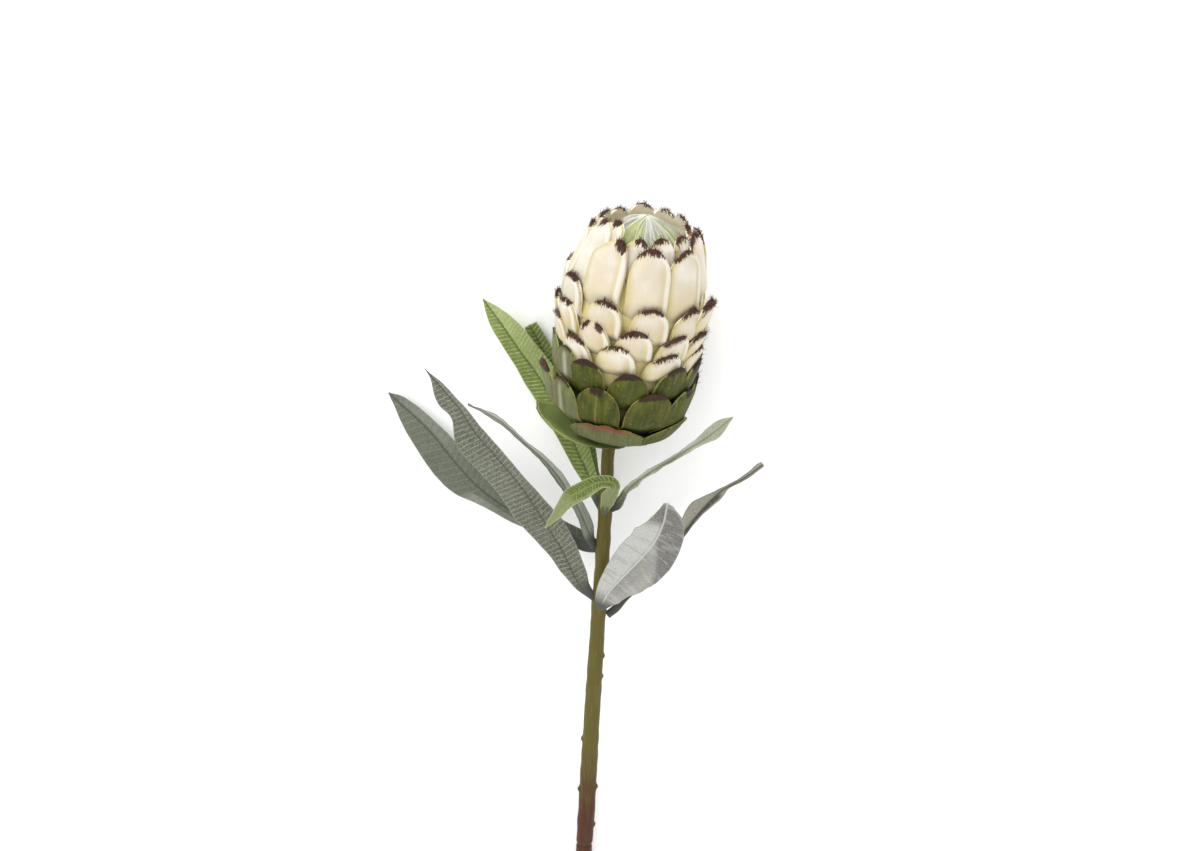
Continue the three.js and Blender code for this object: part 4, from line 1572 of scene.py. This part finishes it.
@dataclass
class Studio:
    """Floor, lights and the photograph's camera.

    The camera's sizes are millimetres, those of the floor and the lights are metres. A
    light is a name, a place, the side of its square and its watts.
    """

    target: Point = (-14.243, -43.067, 35.511)
    distance: float = 2300.0
    tilt: float = 16.0
    lens: float = 120.0
    sensor: float = 36.0
    floor_colour: Colour = (0.96, 0.96, 0.96)
    floor_reach: float = 6.0
    floor_height: float = -0.0003
    sky: float = 1.2
    panels: tuple[tuple[str, Point, float, float], ...] = (
        ("key", (-1.3, 1.7, 1.5), 2.2, 37.0),
        ("fill", (0.3, 2.2, 0.7), 1.6, 13.0),
        ("low", (0.1, -2.2, 0.9), 1.8, 19.0))

    def camera(self) -> None:
        """Makes the camera: it looks down, tilted a little toward the stem's end."""
        data = bpy.data.cameras.new("view")
        data.lens = self.lens
        data.sensor_width = self.sensor
        data.clip_start, data.clip_end = 0.05, 50.0
        camera = link("view", data)
        tilt = math.radians(self.tilt)
        toward = np.array([0.0, math.sin(tilt), math.cos(tilt)])
        camera.location = (np.array(self.target) + toward * self.distance) * MM
        camera.rotation_euler = (-tilt, 0.0, 0.0)
        bpy.context.scene.camera = camera

    def floor(self) -> None:
        """Makes the pale floor."""
        mesh = bpy.data.meshes.new("floor")
        corners = ((-1, -1), (1, -1), (1, 1), (-1, 1))
        points = [(x * self.floor_reach, y * self.floor_reach, self.floor_height) for x, y in corners]
        mesh.from_pydata(points, [], [(0, 1, 2, 3)])
        mesh.materials.append(Surface("floor_card").finish(self.floor_colour, 0.95, Specular_IOR_Level=0.0))
        link("floor", mesh)

    def lights(self) -> None:
        """Makes the sky and the square soft lights, which face the flower."""
        world = bpy.data.worlds.new("sky")
        world.use_nodes = True
        background = world.node_tree.nodes["Background"]
        background.inputs["Color"].default_value = (1.0, 1.0, 1.0, 1.0)
        background.inputs["Strength"].default_value = self.sky
        bpy.context.scene.world = world
        for name, place, size, power in self.panels:
            data = bpy.data.lights.new(name, "AREA")
            data.shape = "SQUARE"
            data.size = size
            data.energy = power
            light = link(name, data)
            away = unit(np.array(place))
            light.location = place
            light.rotation_euler = (math.acos(away[2]), 0.0, math.atan2(away[0], -away[1]))

    def build(self) -> None:
        """Sets the stage."""
        self.camera()
        self.floor()
        self.lights()
        bpy.context.scene.view_settings.view_transform = "Standard"


CREAM_ROWS = (
    BractRow("ring_1", 11, -10.5, 128.5, 20, 8.4, 32, 11, -5.5, 0.0,
             {0: {"tip": -1.5, "skew": 0.25, "tufts": ((0.3, 0.62, 2.8),), "reach": 1.4},
              1: {"tuft": 0.85, "reach": 0.75}, 3: {"tip": 3.5}, 4: {"tip": 4.5}, 5: {"tip": 4},
              6: {"tip": 5}, 7: {"tip": 1.5}, 8: {"tip": 1.5},
              9: {"out": -1, "tufts": ((0.2, 0.6, 3.4),)},
              10: {"tip": 5, "turn": -3, "tufts": ((0.0, 0.5, 3.4),)}}),
    BractRow("ring_2", 10, 5.5, 124.5, 32, 12.8, 46, 20, -0.6, 0.05,
             {0: {"turn": 2, "shift": -0.12, "span": 1.0, "tuft": 1.05, "reach": 1.1},
              1: {"turn": 4, "skew": 0.2, "shift": -0.2, "span": 0.95, "tuft": 0.95},
              2: {"tip": 5, "out": -2, "turn": -3}, 7: {"turn": 4, "out": -3},
              8: {"tip": 6, "out": -3, "turn": 7, "tufts": ((-0.2, 0.35, 2.8),), "frost_and_light": 0.3},
              9: {"tip": 2, "turn": -2, "skew": 0.35, "tufts": ((0.5, 0.36, 4.6),), "reach": 1.9}}),
    BractRow("ring_3", 10, 11, 93.5, 15, 12, 27, 14.5, 0, 0.3,
             {0: {"turn": 1.5, "shift": 0.0, "span": 0.9},
              1: {"tip": -2.5, "turn": 1.5, "skew": 0.25, "shift": 0.05},
              2: {"tip": 1.5, "turn": -12, "out": 3, "tuft": 1.9, "reach": 1.6, "shift": 0.0},
              7: {"turn": -14, "tip": 5, "tuft": 0.9, "fuzz": 0.85, "frost_and_light": 0.8},
              8: {"tip": 6.5, "turn": -4, "tuft": 1.2, "frost_and_light": 0.25},
              9: {"shift": 0.12, "span": 0.9, "reach": 1.1}}),
    BractRow("ring_4", 11, 1.5, 80.2, 13, 11.4, 24, 14, 0, 0.22,
             {0: {"turn": 1.5, "tuft": 1.25, "span": 1.05},
              1: {"tip": -2.5, "turn": 3, "skew": 0.35, "tuft": 1.15, "reach": 1.4}, 2: {"tip": -4.5},
              9: {"tip": 4, "tufts": ((-0.3, 0.4, 3.2), (0.3, 0.3, 2.6))},
              10: {"tufts": ((-0.5, 0.34, 3.8), (0.42, 0.32, 4.0)), "reach": 1.5, "lean": 1.1}}),
    BractRow("ring_5", 10, -11.5, 69.5, 12, 12.2, 23, 14.5, 0, 0.1,
             {0: {"turn": 2, "tuft": 1.0, "span": 1.0},
              1: {"tip": -3, "turn": 6, "skew": 0.35, "tuft": 1.1, "reach": 1.4},
              2: {"tip": -3.5, "turn": 8}, 8: {"tip": 3.5, "turn": 8, "fuzz": 0.3},
              9: {"tip": -2, "tuft": 1.1, "shift": 0.0}}),
)
GREEN_ROWS = (
    BractRow("ring_1", 11, 2, 57.5, 16, 12.2, 28, 16, 1.3, 0.0,
             {0: {"tip": -3, "turn": 2.5, "tuft": 1.3}, 1: {"turn": 7.5, "skew": 0.2, "tuft": 0.9},
              2: {"turn": 7, "tuft": 1.9, "reach": 1.4}, 5: {"tip": -4, "turn": 12, "out": 1.2},
              8: {"tip": -1, "out": -1, "lean": -2.0, "frost_and_light": 0.8, "tuft": 0.2},
              9: {"tip": 1.6, "turn": 9, "frost_and_light": 0.5, "tuft": 0.5, "fold": 1.0, "point": 1.6},
              10: {"tip": -1.2, "turn": -2, "tuft": 1.1, "shift": -0.05}}),
    BractRow("ring_2", 10, 16, 43, 22, 13.2, 32, 17, 1.8, 0.0,
             {0: {"turn": 10, "wide": 1.12, "blush": 0.12, "tuft": 1.2, "span": 0.85},
              1: {"tip": -1.5, "turn": 10, "tufts": ((0.0, 0.34, 4.6),), "reach": 1.4}, 2: {"turn": 6},
              7: {"tip": -3, "turn": 8, "out": 3, "lean": -2.5, "tuft": 1.6, "frost_and_light": 0.6, "blush": 0.2,
                  "reach": 1.4},
              8: {"tip": -2.8, "turn": 4, "out": 0.8, "frost_and_light": 0.4, "tuft": 0.6, "fold": 0.8, "point": 1.6},
              9: {"tip": -0.4, "turn": 1, "wide": 1.06, "tufts": ((-0.05, 0.4, 5.0),), "reach": 1.5,
                  "fold": 0.45}}),
    BractRow("ring_3", 5, -8, 20.5, 17, 26, 20, 15, 2.2, 0.0,
             {0: {"frost_and_light": 0.25, "blush": 1.0, "tuft": 0, "ruffle": 0.7},
              1: {"tuft": 0}, 2: {"tuft": 0}, 3: {"tuft": 0},
              4: {"tip": -7, "turn": -2, "out": 9, "frost_and_light": 0.3, "tuft": 0, "ruffle": 1.0}}),
)
CREAM_FORM = BractForm(thick=2.2, puff=1.5, rim=0.8, rim_at=2.0, rim_width=1.8, groove=0.45, edge_round=0.9,
                       tuft=2.4, tuft_span=0.92, tuft_shift=-0.12, reach=(10.0, 6.0))
GREEN_FORM = BractForm(thick=1.7, puff=0.8, rim=0.2, rim_at=0.6, rim_width=0.7, groove=0.0, edge_round=0.6,
                       tuft=3.3, tuft_span=0.9, tuft_shift=-0.08, reach=(9.0, 6.0), crease=0.12, point=0.9)

RIBBED_CLOTH = cloth(
    "leaf_green_ribbed", (116, 138, 56), (132, 153, 70), (198, 211, 144), (88, 104, 46), (208, 218, 156),
    (92, 108, 62), (184, 194, 136), ribbing=0.8, frosting=0.22)
ARCHED_CLOTH = cloth(
    "leaf_green_arched", (76, 95, 26), (92, 111, 38), (144, 152, 106), (68, 74, 42), (162, 174, 108),
    (140, 150, 92), (186, 191, 150), ribbing=0.8, frosting=0.25)
WAVY_CLOTH = cloth(
    "leaf_green_pale", (200, 204, 180), (212, 215, 196), (226, 228, 216), (98, 104, 76), (214, 218, 190),
    (146, 156, 114), (216, 219, 200), ribbing=0.3)
NARROW_CLOTH = cloth(
    "leaf_silver_narrow", (163, 169, 150), (176, 182, 163), (210, 213, 202), (92, 95, 84), (200, 200, 192),
    (118, 122, 108), (128, 130, 118))
LONG_CLOTH = cloth(
    "leaf_grey_ribbed", (92, 95, 80), (104, 107, 92), (130, 133, 118), (66, 69, 56), (168, 173, 154),
    (82, 86, 72), (156, 159, 146), ribbing=0.72, frosting=0.45)
LOW_CLOTH = cloth(
    "leaf_grey_smooth", (105, 112, 96), (115, 122, 106), (156, 161, 149), (78, 81, 68), (150, 153, 138),
    (82, 85, 74), (150, 153, 142), ribbing=0.3, frosting=0.4)
# This cloth paints highlights and shade of satin wrinkles.
WIDE_CLOTH = cloth(
    "leaf_grey_back", (152, 152, 142), (160, 160, 151), (202, 203, 197), (106, 103, 98), (192, 193, 185),
    (214, 215, 209), (180, 180, 172), frosting=0.3, creases=0.35)
FOLDED_CLOTH = cloth(
    "leaf_grey_folded", (168, 165, 150), (182, 179, 164), (204, 202, 190), (76, 76, 66), (196, 194, 180),
    (92, 91, 80), (134, 132, 120))

FULL = (-1.2, 1.2)  # across a whole leaf, past both its edges
LEAVES = (
    Leaf("ribbed_leaf", "leaf_left_ribbed", Slot.GREEN_LEAF, RIBBED_CLOTH, (10, 0), 0.5,
         ((-13.6, -95, 30.6), (-19.7, -79.2, 25), (-28.3, -61.8, 16.5), (-37, -44.2, 11),
          (-44.7, -30.2, 8.2), (-52.6, -17.3, 8), (-61.6, -4.1, 9.5), (-72.4, 13.3, 13),
          (-81.5, 27, 16)),
         left=((0, 1.8), (0.1, 4.1), (0.2, 6.3), (0.3, 7), (0.4, 8), (0.5, 8.5), (0.6, 8.8), (0.7, 7.1),
               (0.8, 6.4), (0.86, 6.3), (0.9, 5.5), (0.95, 3.3), (1, 0.2)),
         right=((0, 1.8), (0.1, 3.8), (0.2, 6.1), (0.3, 8.6), (0.4, 10.7), (0.5, 11.5), (0.7, 10.2),
                (0.78, 9.7), (0.85, 8.2), (0.9, 6.5), (0.95, 3.7), (1, 0.2)),
         ribs=Ribs(2.6, 0.55, 0.2),
         patches=(Patch((0.0, 1.0), (0.05, 1.2), 0.45), Patch((0.8, 1.0), FULL, 0.25, 0.1),
                 Patch((0.0, 0.3), FULL, -0.2, 0.1)),
         seed=1),
    Leaf("leaf_behind_head", "leaf_under_head", Slot.GREEN_LEAF, RIBBED_CLOTH, (0, 0), 0.2,
         ((-11.7, -96, 27.4), (-16.2, -81, 18.5), (-22.5, -65.1, 10), (-31, -47.5, 4.4),
          (-39.3, -30, 2.7), (-45.1, -13.5, 2.4), (-49.6, -2.3, 2.6), (-55.2, 8.2, 3)),
         left=((0, 1.7), (0.1, 2.5), (0.2, 4.4), (0.35, 6), (0.5, 6.4), (0.8, 5.2), (1, 3.2)),
         right=((0, 1.7), (0.05, 1.8), (0.2, 3.1), (0.3, 5.8), (0.5, 6.8), (0.7, 6.3), (0.85, 5.8),
                (1, 4.7)),
         ribs=Ribs(2.6, 0.55, 0.2), ruffle=0.2,
         patches=(Patch((0.0, 0.35), FULL, 0.3, 0.1), Patch((0.85, 1.1), FULL, -0.5, 0.05)),
         seed=2),
    Leaf("arched_leaf", "leaf_arched_green", Slot.GREEN_LEAF, ARCHED_CLOTH, (0, 12), 0.3,
         ((-11.8, -97.6, 33.5), (-11.4, -92.2, 39), (-10, -86.2, 46), (-7.9, -80.1, 53),
          (-5.7, -74.6, 59), (-5.4, -70.5, 63), (-8.5, -67.9, 65.5), (-13.7, -67.8, 66),
          (-18.2, -69.3, 65.5), (-24.3, -73.6, 63), (-30.6, -78, 59.5), (-35.1, -84.9, 55),
          (-39, -91.7, 51), (-42.5, -96.8, 48), (-46, -101.8, 45)),
         left=((0, 1.3), (0.07, 2.5), (0.16, 3.8), (0.26, 5.8), (0.34, 5.2), (0.39, 3.7), (0.44, 3.6),
               (0.49, 3.7), (0.54, 4.9), (0.61, 5.5), (0.69, 5.4), (0.78, 3.8), (0.87, 2.9),
               (0.93, 1.8), (1, 0.3)),
         right=((0, 1.3), (0.07, 2.5), (0.16, 3.6), (0.26, 3.6), (0.34, 2.4), (0.39, 2.4), (0.44, 3.6),
                (0.49, 4), (0.54, 4.7), (0.61, 5.1), (0.69, 4.9), (0.78, 3.7), (0.87, 2.9), (0.93, 1.8),
                (1, 0.3)),
         ribs=Ribs(2.0, 0.5, 0.16, spans=((0.36, 0.74),)),
         patches=(Patch((-0.2, 0.1), FULL, -1.0, 0.03), Patch((0.1, 0.36), FULL, 0.7, 0.03),
                 Patch((0.7, 1.1), FULL, 0.9, 0.06), Patch((0.4, 0.7), (-1.2, -0.62), 0.8, 0.05)),
         seed=3),
    Leaf("wavy_leaf", "leaf_right_thin", Slot.GREEN_LEAF, WAVY_CLOTH, (-50, -35), 0.6,
         ((-7.7, -94.4, 32), (-2.6, -88.9, 34), (2.9, -80.3, 37), (12.3, -71.2, 41), (24.2, -62.7, 44),
          (37.1, -53.4, 47), (48.6, -45.1, 49), (61.6, -33.6, 51)),
         left=((0, 2.8), (0.05, 3.4), (0.1, 2.9), (0.13, 3.6), (0.2, 2.3), (0.3, 1.6), (0.45, 2.1),
               (0.5, 1.8), (0.6, 1.9), (0.65, 1.9), (0.7, 2.1), (0.75, 2.9), (0.8, 3.8), (0.85, 4.4),
               (0.9, 4.6), (0.94, 3.3), (1, 0.2)),
         right=((0, 2.2), (0.05, 4), (0.1, 3.9), (0.13, 3.2), (0.17, 2), (0.2, 1.9), (0.25, 2.9),
                (0.3, 1.3), (0.35, 1.1), (0.4, 2), (0.43, 2.5), (0.46, 1.6), (0.5, 1.9), (0.63, 2.4),
                (0.7, 1.9), (0.75, 2.6), (0.8, 3.4), (0.83, 4.5), (0.88, 4.9), (0.92, 3.9), (1, 0.3)),
         ribs=Ribs(2.4, 0.5, 0.12, gaps=0.3),
         patches=(Patch((-0.2, 0.14), FULL, -1.2, 0.03), Patch((0.14, 0.3), FULL, -0.45, 0.04),
                 Patch((0.33, 0.37), (0.0, 1.2), -0.8, 0.02), Patch((0.47, 0.57), (0.1, 1.2), -0.5, 0.03),
                 Patch((0.72, 1.1), FULL, -0.3, 0.06), Patch((0.2, 0.7), (-1.2, -0.4), 0.8, 0.05)),
         seed=4),
    Leaf("narrow_leaf", "leaf_left_narrow", Slot.GREY_LEAF, NARROW_CLOTH, (45, 60), 0.2,
         ((-18, -118.3, 31), (-21.9, -107.1, 29), (-26.9, -95.2, 28), (-32, -86.8, 27),
          (-38, -77.4, 26), (-45.9, -67.9, 25), (-57.7, -57.1, 24), (-72.2, -44.2, 22.5),
          (-90.5, -34.2, 21)),
         left=((0, 1.6), (0.05, 3.8), (0.1, 4.4), (0.3, 3.7), (0.4, 3.8), (0.45, 3.5), (0.5, 2.7),
               (0.55, 1.7), (0.7, 1.8), (0.75, 2), (0.8, 2.3), (0.85, 2), (0.9, 1.3), (0.94, 0.2),
               (0.97, 0.7), (1, 0.8)),
         right=((0, 1.7), (0.06, 3.5), (0.1, 4.7), (0.15, 5), (0.2, 4.9), (0.25, 4.3), (0.3, 3.6),
                (0.4, 3.5), (0.6, 1.8), (0.7, 1.5), (0.75, 1.8), (0.8, 2.3), (0.85, 2.4), (0.9, 1.4),
                (0.94, 1), (0.97, 0.4), (1, 0.4)),
         ruffle=0.2,
         patches=(Patch((0.0, 0.25), (-1.2, 0.0), -0.25, 0.05), Patch((0.25, 1.1), (0.1, 1.2), 0.7, 0.06),
                 Patch((0.3, 0.78), (-1.2, -0.75), -1.0, 0.04), Patch((0.78, 1.1), (-1.2, 0.2), -0.3, 0.05)),
         seed=5),
    Leaf("long_leaf", "leaf_left_long", Slot.GREY_LEAF, LONG_CLOTH, (12, -4), 1.2,
         ((-17.6, -151.4, 27.2), (-25.5, -143, 28.5), (-31.6, -130.3, 30), (-37, -118.2, 31.5),
          (-43.7, -106.5, 33), (-52.3, -91.5, 34.5), (-63.3, -75.1, 36), (-74.8, -60.4, 37),
          (-86.5, -45.9, 38), (-94.7, -32.3, 39), (-104.6, -19.6, 40.5), (-114.2, -7.6, 42)),
         left=((0, 1.2), (0.04, 1.8), (0.1, 4.1), (0.15, 6.4), (0.2, 7.4), (0.3, 9.9), (0.4, 13.6),
               (0.45, 13), (0.5, 12.7), (0.6, 12.9), (0.7, 13.3), (0.74, 12.1), (0.77, 9.2), (0.8, 6.9),
               (0.83, 6.8), (0.87, 7.9), (0.9, 6.9), (0.93, 4.4), (0.96, 1.6), (1, 0.3)),
         right=((0, 2.4), (0.04, 4.3), (0.1, 7.2), (0.2, 8.7), (0.3, 9.9), (0.4, 6.9), (0.5, 5.2),
                (0.6, 4.9), (0.7, 4.9), (0.8, 3.6), (0.85, 2.9), (0.9, 2.9), (0.93, 2.8), (0.96, 1.8),
                (1, 0.3)),
         ribs=Ribs(2.9, 0.25, 0.17, gaps=0.12),
         patches=(Patch((0.75, 1.1), (0.0, 1.2), 0.6, 0.08), Patch((0.0, 0.2), FULL, -0.2, 0.08),
                 Patch((0.2, 0.7), (-1.2, -0.3), 0.3, 0.1)),
         seed=6),
    Leaf("low_leaf", "leaf_left_low", Slot.GREY_LEAF, LOW_CLOTH, (10, 0), 0.8,
         ((-15.2, -120.4, 26.6), (-27.5, -115.8, 22), (-46.7, -108.6, 17), (-66.7, -100.8, 13),
          (-84.4, -88.4, 10.5), (-99.7, -71.9, 8.5), (-114, -54, 7), (-137.3, -32, 4.8)),
         left=((0, 2.3), (0.02, 3.8), (0.05, 5.2), (0.2, 5.5), (0.3, 5.8), (0.4, 5.5), (0.45, 6.6),
               (0.5, 8.9), (0.55, 12.3), (0.6, 13.7), (0.65, 13.8), (0.75, 12.8), (0.8, 11.8),
               (0.85, 10), (0.9, 7.3), (0.95, 3.6), (1, 0.2)),
         right=((0, 1.8), (0.02, 4.7), (0.05, 6.1), (0.2, 7.3), (0.4, 10.4), (0.6, 8.8), (0.7, 7.8),
                (0.8, 6.4), (0.9, 5.8), (0.94, 5.1), (0.97, 3.5), (1, 0.2)),
         ribs=Ribs(4.6, 0.5, 0.15, gaps=0.35),
         patches=(Patch((0.3, 0.52), (-1.2, -0.5), 1.1, 0.03), Patch((0.68, 0.95), (0.15, 1.2), 0.5, 0.06),
                 Patch((-0.2, 0.13), FULL, -0.7, 0.05)),
         lifts=(EdgeLift(0.42, 0.09, -1.0, 2.2),),
         seed=7),
    Leaf("wide_leaf", "leaf_arched_wide", Slot.GREY_LEAF, WIDE_CLOTH, (0, -10), 0.6,
         ((-14.7, -156.2, 29.3), (-9.1, -143.8, 36.5), (0.2, -130.1, 46), (9, -117.2, 56),
          (16.6, -103.9, 67), (21.7, -89, 78), (23.8, -74.9, 86)),
         left=((0, 1.2), (0.03, 3.7), (0.1, 6.3), (0.2, 9.3), (0.3, 11.8), (0.4, 13.5), (0.5, 14.7),
               (0.6, 14.3), (0.7, 14), (0.73, 14.4), (0.76, 13.4), (0.8, 11.2), (0.9, 6.5), (1, 2)),
         right=((0, 2), (0.03, 4.1), (0.06, 5.9), (0.1, 7.5), (0.2, 9.6), (0.3, 13.5), (0.4, 15.3),
                (0.5, 16.2), (0.6, 16.2), (0.7, 15.2), (0.8, 14.1), (0.9, 11.7), (0.95, 9.1), (1, 3.2)),
         # The first patch is a painted satin highlight.
         patches=(Patch((0.12, 0.84), (-1.2, -0.05), 0.95, 0.07),
                 Patch((0.1, 0.7), (0.1, 1.2), 0.25, 0.06, -0.3),
                 Patch((0.1, 0.5), (0.0, 0.5), -0.5, 0.08), Patch((0.84, 1.2), (-1.2, 0.1), -1.0, 0.04),
                 Patch((0.7, 1.2), (0.0, 1.2), -1.0, 0.06, -0.3)),
         groove=0.7,
         seed=8),
    Leaf("folded_leaf", "leaf_right_low", Slot.GREY_LEAF, FOLDED_CLOTH, (-30, -30), 0.3,
         ((-10, -161.9, 24), (-0, -153, 23), (11.4, -139.1, 21.5), (23, -124.7, 20.5),
          (35.4, -111.3, 20.5), (44.9, -98.4, 21.5), (57.2, -85.7, 23), (68.9, -78.3, 25),
          (80.2, -69.1, 27)),
         left=((0, 2.3), (0.1, 2), (0.4, 4.6), (0.56, 5.3), (0.6, 6.3), (0.65, 6.6), (0.7, 4.3),
               (0.75, 2.1), (0.8, 1.1), (0.9, 1.6), (0.95, 1.8), (0.98, 2.5), (1, 1.9)),
         right=((0, 2.3), (0.05, 2.7), (0.1, 1.9), (0.3, 3), (0.5, 2.7), (0.55, 2.2), (0.6, 2.3),
                (0.65, 2.7), (0.7, 3.8), (0.75, 4.1), (0.78, 3), (0.8, 1.1), (0.85, 1.3), (0.9, 1.5),
                (1, 1.5)),
         cup=0.5,
         # The second patch is painted shade in the channel of the fold.
         patches=(Patch((-0.2, 0.16), FULL, -1.0, 0.04), Patch((0.48, 0.76), (0.0, 0.75), -1.0, 0.03),
                 Patch((0.6, 0.8), (0.75, 1.2), 0.8, 0.04), Patch((0.16, 0.5), (0.1, 1.2), -0.5, 0.06),
                 Patch((0.3, 0.6), (-1.2, -0.3), 0.4, 0.08), Patch((0.78, 1.1), FULL, 0.2, 0.04)),
         seed=9),
)


def build_head(head: HeadShape, hairs: Hairs, threads: Threads) -> None:
    """Builds the head: bracts, bristles, core and dome.

    Args:
        head: The head's shape.
        hairs: The bristle tree.
        threads: The thread tree.
    """
    bristle = BristleFinish().material()
    core = CoreFinish().material()
    cream, green = CreamFinish().material(), GreenFinish().material()
    kinds = (
        (Bracts("cream_bracts", head, CREAM_FORM, CREAM_ROWS), cream, Slot.CREAM, CREAM_HAIRS, core,
         (head.core_seam, head.core_end)),
        (Bracts("green_bracts", head, GREEN_FORM, GREEN_ROWS), green, Slot.GREEN, GREEN_HAIRS, green,
         (0.0, head.core_seam)),
    )
    for bracts, material, slot, density, within, span in kinds:
        for row in bracts.rows:
            ring = bracts.build(row, material)
            tufts = hairs.grow(ring, f"{ring.name}_bristles", bristle, Density=density)
            present(ring, slot, bracts.name)
            present(tufts, slot)
        present(bracts.core(*span, within), slot, bracts.name)
    dome = FloretDome(head)
    fabric = SilkFinish("floret_fabric", colour(174, 184, 104), colour(208, 212, 158)).material()
    present(dome.surface(fabric), Slot.FLORET, "floret_dome")
    silk = SilkFinish("floret_fibre", colour(206, 210, 180), colour(246, 245, 238)).material()
    present(threads.lay(dome.threads(), "floret_dome_fibres", silk), Slot.FLORET)


def build_leaves(threads: Threads) -> None:
    """Builds the nine leaves with their ribs.

    Args:
        threads: The thread tree.
    """
    cloths: dict[str, tuple[Material, Material]] = {}
    for leaf in LEAVES:
        finish = leaf.finish
        if finish.name not in cloths:
            cloths[finish.name] = (finish.material(), finish.thread())
        cloth, thread = cloths[finish.name]
        present(leaf.build(cloth), leaf.slot, leaf.node)
        if leaf.ribs is not None:
            present(threads.lay(leaf.rib_lines(), f"{leaf.name}_ribs", thread), leaf.slot)


def main() -> None:
    """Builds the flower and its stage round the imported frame."""
    logging.basicConfig(level=logging.INFO, format="%(name)s: %(message)s")
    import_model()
    head = HeadShape()
    Studio().build()
    hairs, threads = Hairs(), Threads()
    build_head(head, hairs, threads)
    present(Stem(head).build(StemFinish().material()), Slot.STEM, "stem")
    build_leaves(threads)


if __name__ == "__main__":
    main()
